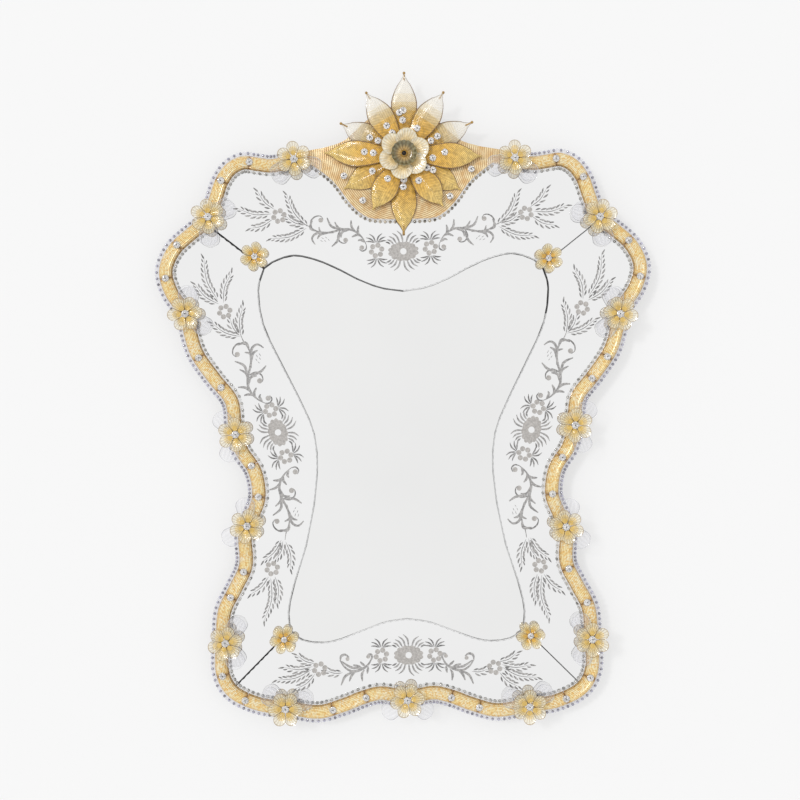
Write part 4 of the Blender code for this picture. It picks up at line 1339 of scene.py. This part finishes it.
def crest_petal(bm, degrees, length, in_front, zones):
    """A pointed ribbed petal; its edges bend back and its rim is a thin dark line of painted shade."""
    fading, rim_zone = zones
    angle = math.radians(degrees)
    seat = PANEL_FRONT + GAP + (2.5 * MM + GAP if in_front else 0)
    lift = 4 * MM + (4.5 * MM if in_front else 0)
    rows = 18
    stops, widths = zip(*smooth_line([(a, b) for a, b, _ in CREST_SHAPE], 6))
    widths = [max(width, CREST_THINNEST) for width in widths]
    rise_stops, rises = zip(*smooth_line([(a, c) for a, _, c in CREST_SHAPE], 6))

    def spot_at(i, w):
        u = i / rows
        half = float(np.interp(u, stops, widths))
        rise = float(np.interp(u, rise_stops, rises))
        away = CREST_ROOT + (length - CREST_ROOT) * u
        side = w * half * CREST_PETAL_WIDTH / 2
        depth = seat + rise * (lift - 4 * MM * w * w) + (0.4 * MM if abs(w) == 1 else 0)
        return (petal_spot(CREST_CENTRE, angle, away, side, depth),
                (away - 0.9 * abs(side)) / CREST_RIB_RUN, max(0.0, min(1.0, (0.80 - u) / 0.35)))

    def zone_at(row, at_edge):
        if at_edge:
            return rim_zone
        return fading[sum((row + 0.5) / rows > share for share in CREST_FADES)]

    glass_sheet(bm, rows, spot_at, zone_at, 1.6 * MM)


def tip_rod(bm, angle, length, in_front, material):
    """The drawn-out tip of a crest petal: a thin rod with a bead at its end."""
    depth = PANEL_FRONT + (9.2 * MM if in_front else 4.6 * MM)
    rod = bmesh.ops.create_cone(bm, cap_ends=True, segments=8, radius1=1.5 * MM, radius2=0.9 * MM,
                                depth=14 * MM)["verts"]
    bead = bmesh.ops.create_uvsphere(bm, u_segments=12, v_segments=8, radius=2.7 * MM)["verts"]
    bmesh.ops.translate(bm, verts=bead, vec=(0, 0, 6.5 * MM))
    verts = rod + bead
    bmesh.ops.translate(bm, verts=verts, vec=(0, 0, length - 8 * MM))
    turn = Matrix.Rotation(math.pi / 2 - angle, 3, 'Y')
    bmesh.ops.rotate(bm, verts=verts, cent=(0, 0, 0), matrix=turn)
    bmesh.ops.translate(bm, verts=verts, vec=(CREST_SHIFT, -depth, CREST_HEIGHT))
    paint(verts, material)


def make_crest_petals():
    looks = ("crest_gold", "crest_clear", "crest_rim", "amber_bead", "crest_thin_gold",
             "crest_half_gold", "crest_faint_gold")
    rows = (("leaf", "clear_glass", CREST_LEAVES, ((0, 4, 5, 6, 1), 2)),
            ("petal", "gold_glass", CREST_PETALS, ((0, 0, 0, 0, 0), 2)))
    for kind, slot, petals, zones in rows:
        for k, (degrees, length, in_front) in enumerate(petals):
            bm = bmesh.new()
            crest_petal(bm, degrees, length, in_front, zones)
            if kind == "leaf" or k == TIPPED_PETAL:
                tip_rod(bm, math.radians(degrees), length, in_front, 3)
            name = f"crest_{kind}_{k + 1}"
            add_piece(f"{name}_glass", bm, looks, slot, [name])


def make_crest_flower():
    bm = bmesh.new()
    petal_ring(bm, CREST_CENTRE, math.radians(20), CREST_FLOWER_PETAL, CREST_FLOWER_NECK,
               CREST_FLOWER_CUP, (0, 0, 0, 1), 1.6 * MM, 1.6 * MM, 62)
    stud(bm, CREST_CENTRE, CREST_FLOWER_NECK + 2.2 * MM, PANEL_FRONT, (11.5 * MM, 12 * MM), 20)
    add_piece("crest_flower_glass", bm, ("milky_petal", "milky_rim"), "milky_glass",
              ["crest_flower"])


def make_crest_cup():
    """The ribbed olive cup: its profile turned about the middle, with a glass eye and a nail."""
    bm = bmesh.new()
    fan_layer, leaf_layer = float_layers(bm, "fan", "leaf")
    verts = [bm.verts.new((r * MM, -rise * MM, 0)) for r, rise in CUP_PROFILE]
    edges = [bm.edges.new(pair) for pair in zip(verts, verts[1:])]
    bmesh.ops.spin(bm, geom=verts + edges, cent=(0, 0, 0), axis=(0, 1, 0), angle=math.tau,
                   steps=CUP_RIBS * 4, use_merge=True)
    for v in bm.verts:
        turn = math.atan2(v.co.z, v.co.x) / math.tau
        v[fan_layer] = turn
        r = math.hypot(v.co.x, v.co.z)
        v[leaf_layer] = min(1.0, max(0.0, (17 * MM - r) / (8 * MM)))
        if r > 12 * MM:
            swell = 1 + 0.03 * math.cos(turn * math.tau * CUP_RIBS)
            v.co.x *= swell
            v.co.z *= swell
    bmesh.ops.holes_fill(bm, edges=[e for e in bm.edges if e.is_boundary], sides=0)
    x, z = CREST_CENTRE
    bmesh.ops.translate(bm, verts=bm.verts, vec=(x, -CREST_CUP_SEAT, z))
    for radius, rise, material in ((8.0, 2.0, 1), (4.4, 8.0, 2)):
        ball = bmesh.ops.create_uvsphere(bm, u_segments=16, v_segments=10,
                                         radius=radius * MM)["verts"]
        bmesh.ops.translate(bm, verts=ball, vec=(x, -CREST_CUP_SEAT - rise * MM, z))
        paint(ball, material)
    add_piece("crest_cup_glass", bm, ("olive_cup", "amber_bead", "dark_pin"), "olive_glass",
              ["crest_centre"], 50)


def make_crest_rosettes():
    bm = bmesh.new()
    button = rosette_mesh(CREST_BUTTON_RADIUS, pin_share=0.2)
    for spot in (on_front(place) for place in CREST_ROSETTES):
        near = math.dist(spot, CREST_CENTRE) < 75 * MM
        depth = CREST_ROSETTE_DEPTH if near else PANEL_FRONT + 7 * MM
        stamp(bm, button, Matrix.Translation((spot[0], -depth, spot[1])))
        stud(bm, spot, depth, PANEL_FRONT, (1.2 * MM, 1.2 * MM), 8)
    add_piece("crest_rosettes", bm, ("speckled_button", "dark_pin"), "clear_glass", smooth=40)


def make_linings():
    """Putty in the seam round the centre plate and in the four joints; the seam's tones are painted
    shade and reflection.
    """
    bm = bmesh.new()
    for hand, breaks in ((-1, SEAM_TONES_LEFT), (1, SEAM_TONES_RIGHT)):
        lengths = Path(SHEET).lengths
        first = 0
        for share, tone in breaks:
            last = max(k for k, s in enumerate(lengths) if s <= share * lengths[-1] + SMALL)
            line = [(hand * x, z) for x, z in SHEET[first:last + 1]]
            known = set(bm.faces)
            crimped_ribbon(bm, line, hand * SEAM_SIDE, hand * (SEAM - SEAM_SIDE),
                           BOARD_FRONT + 0.1 * MM, 12 * MM, 0, PLATE_FRONT - BOARD_FRONT - 0.25 * MM)
            for f in set(bm.faces) - known:
                f.material_index = tone
            first = last
    add_piece("seam_putty", bm, SEAM_PUTTY, "stained_wood", smooth=None)
    bm = bmesh.new()
    for outside, corner, halves in ((UPPER_JOINT, PLATE_TOP[-1], (1.7, 0.85)),
                                    (LOWER_JOINT, PLATE_BOTTOM[0], (1.5, 0.85))):
        for hand, half in zip((-1, 1), halves):
            line = [on_front((hand * p[0], p[1])) for p in (corner, outside)]
            crimped_ribbon(bm, line, -half * MM, half * MM, PLATE_FRONT - 1.2 * MM, 12 * MM, 0,
                           1.35 * MM)
    add_piece("joint_putty", bm, ["joint_putty"], "stained_wood", smooth=None)


def make_back_nuts():
    """The flowers' pins come through the board and end in washers and nuts."""
    bm = bmesh.new()
    for spot in [(0.0, FRAME.line[-1][1]), *frame_spots(LEFT_SHARES, RIGHT_SHARES)]:
        for sides, radius, height, rise in BACK_NUT:
            middle = BOARD_BACK - rise * MM
            stud(bm, spot, middle + height / 2 * MM, middle - height / 2 * MM,
                 (radius * MM, radius * 0.97 * MM), sides, -math.pi / 2)
    add_piece("back_nuts", bm, ["zinc"], "stained_wood", smooth=30)


# Stage, light and camera

def make_stage():
    bm = bmesh.new()
    bmesh.ops.create_grid(bm, x_segments=1, y_segments=1, size=1)
    for v in bm.verts:
        v.co = (v.co.x * WALL_HALF_WIDTH, 0.0, WALL_TOP if v.co.y > 0 else FLOOR_LEVEL)
    low = [e for e in bm.edges if all(v.co.z < 0 for v in e.verts)]
    draw_out(bm, low, (0, -FLOOR_DEPTH, 0))
    bmesh.ops.bevel(bm, geom=low, offset=FLOOR_ROUNDING, affect='EDGES', segments=16, profile=0.5,
                    material=-1)
    bmesh.ops.recalc_face_normals(bm, faces=bm.faces)
    if sum(f.normal.y for f in bm.faces) > 0:
        bmesh.ops.reverse_faces(bm, faces=bm.faces)
    mesh = bpy.data.meshes.new("stage")
    bm.to_mesh(mesh)
    bm.free()
    wall_material()
    mesh.materials.append(LOOKS["wall_paint"])
    mesh.shade_smooth()
    stage = bpy.data.objects.new("stage", mesh)
    bpy.context.scene.collection.objects.link(stage)


def aim(thing, target):
    thing.rotation_euler = (Vector(target) - thing.location).to_track_quat('-Z', 'Y').to_euler()


def make_light():
    world = bpy.data.worlds.new("studio")
    bpy.context.scene.world = world
    world.use_nodes = True
    background = world.node_tree.nodes["Background"].inputs
    background["Color"].default_value = (0.93, 0.93, 0.93, 1)
    background["Strength"].default_value = 0.97
    lamp = bpy.data.lights.new("key", 'SUN')
    lamp.energy = 1.05
    lamp.angle = math.radians(9)
    key = bpy.data.objects.new("key", lamp)
    key.location = KEY_PLACE
    aim(key, KEY_TARGET)
    bpy.context.scene.collection.objects.link(key)
    bpy.context.scene.view_settings.view_transform = 'Standard'


def make_camera():
    camera = bpy.data.cameras.new("camera")
    camera.lens = 59.2
    camera.sensor_width = 36.0
    holder = bpy.data.objects.new("camera", camera)
    holder.location = CAMERA_PLACE
    holder.rotation_euler = (math.radians(90), math.radians(CAMERA_ROLL), 0)
    bpy.context.scene.collection.objects.link(holder)
    bpy.context.scene.camera = holder


def main():
    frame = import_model()
    make_camera()
    make_stage()
    make_light()
    make_looks()
    for node, look in (("backboard", "board_wood"), ("wall_cleat", "batten_wood"),
                       ("lower_spacer", "batten_wood"), ("mirror_centre", "centre_mirror"),
                       ("crest_panel", "gold_panel")):
        frame["nodes"][node].data.materials[0] = LOOKS[look]
    make_plates()
    make_strips()
    make_rosettes()
    make_frame_flowers()
    make_corner_flowers()
    make_edgings()
    make_crest_petals()
    make_crest_flower()
    make_crest_cup()
    make_crest_rosettes()
    edging("crest_edging", whole(half_line(PANEL_LINE)), CREST_EDGING, ("clear_ribbon", "dark_bead"))
    make_linings()
    make_back_nuts()


main()
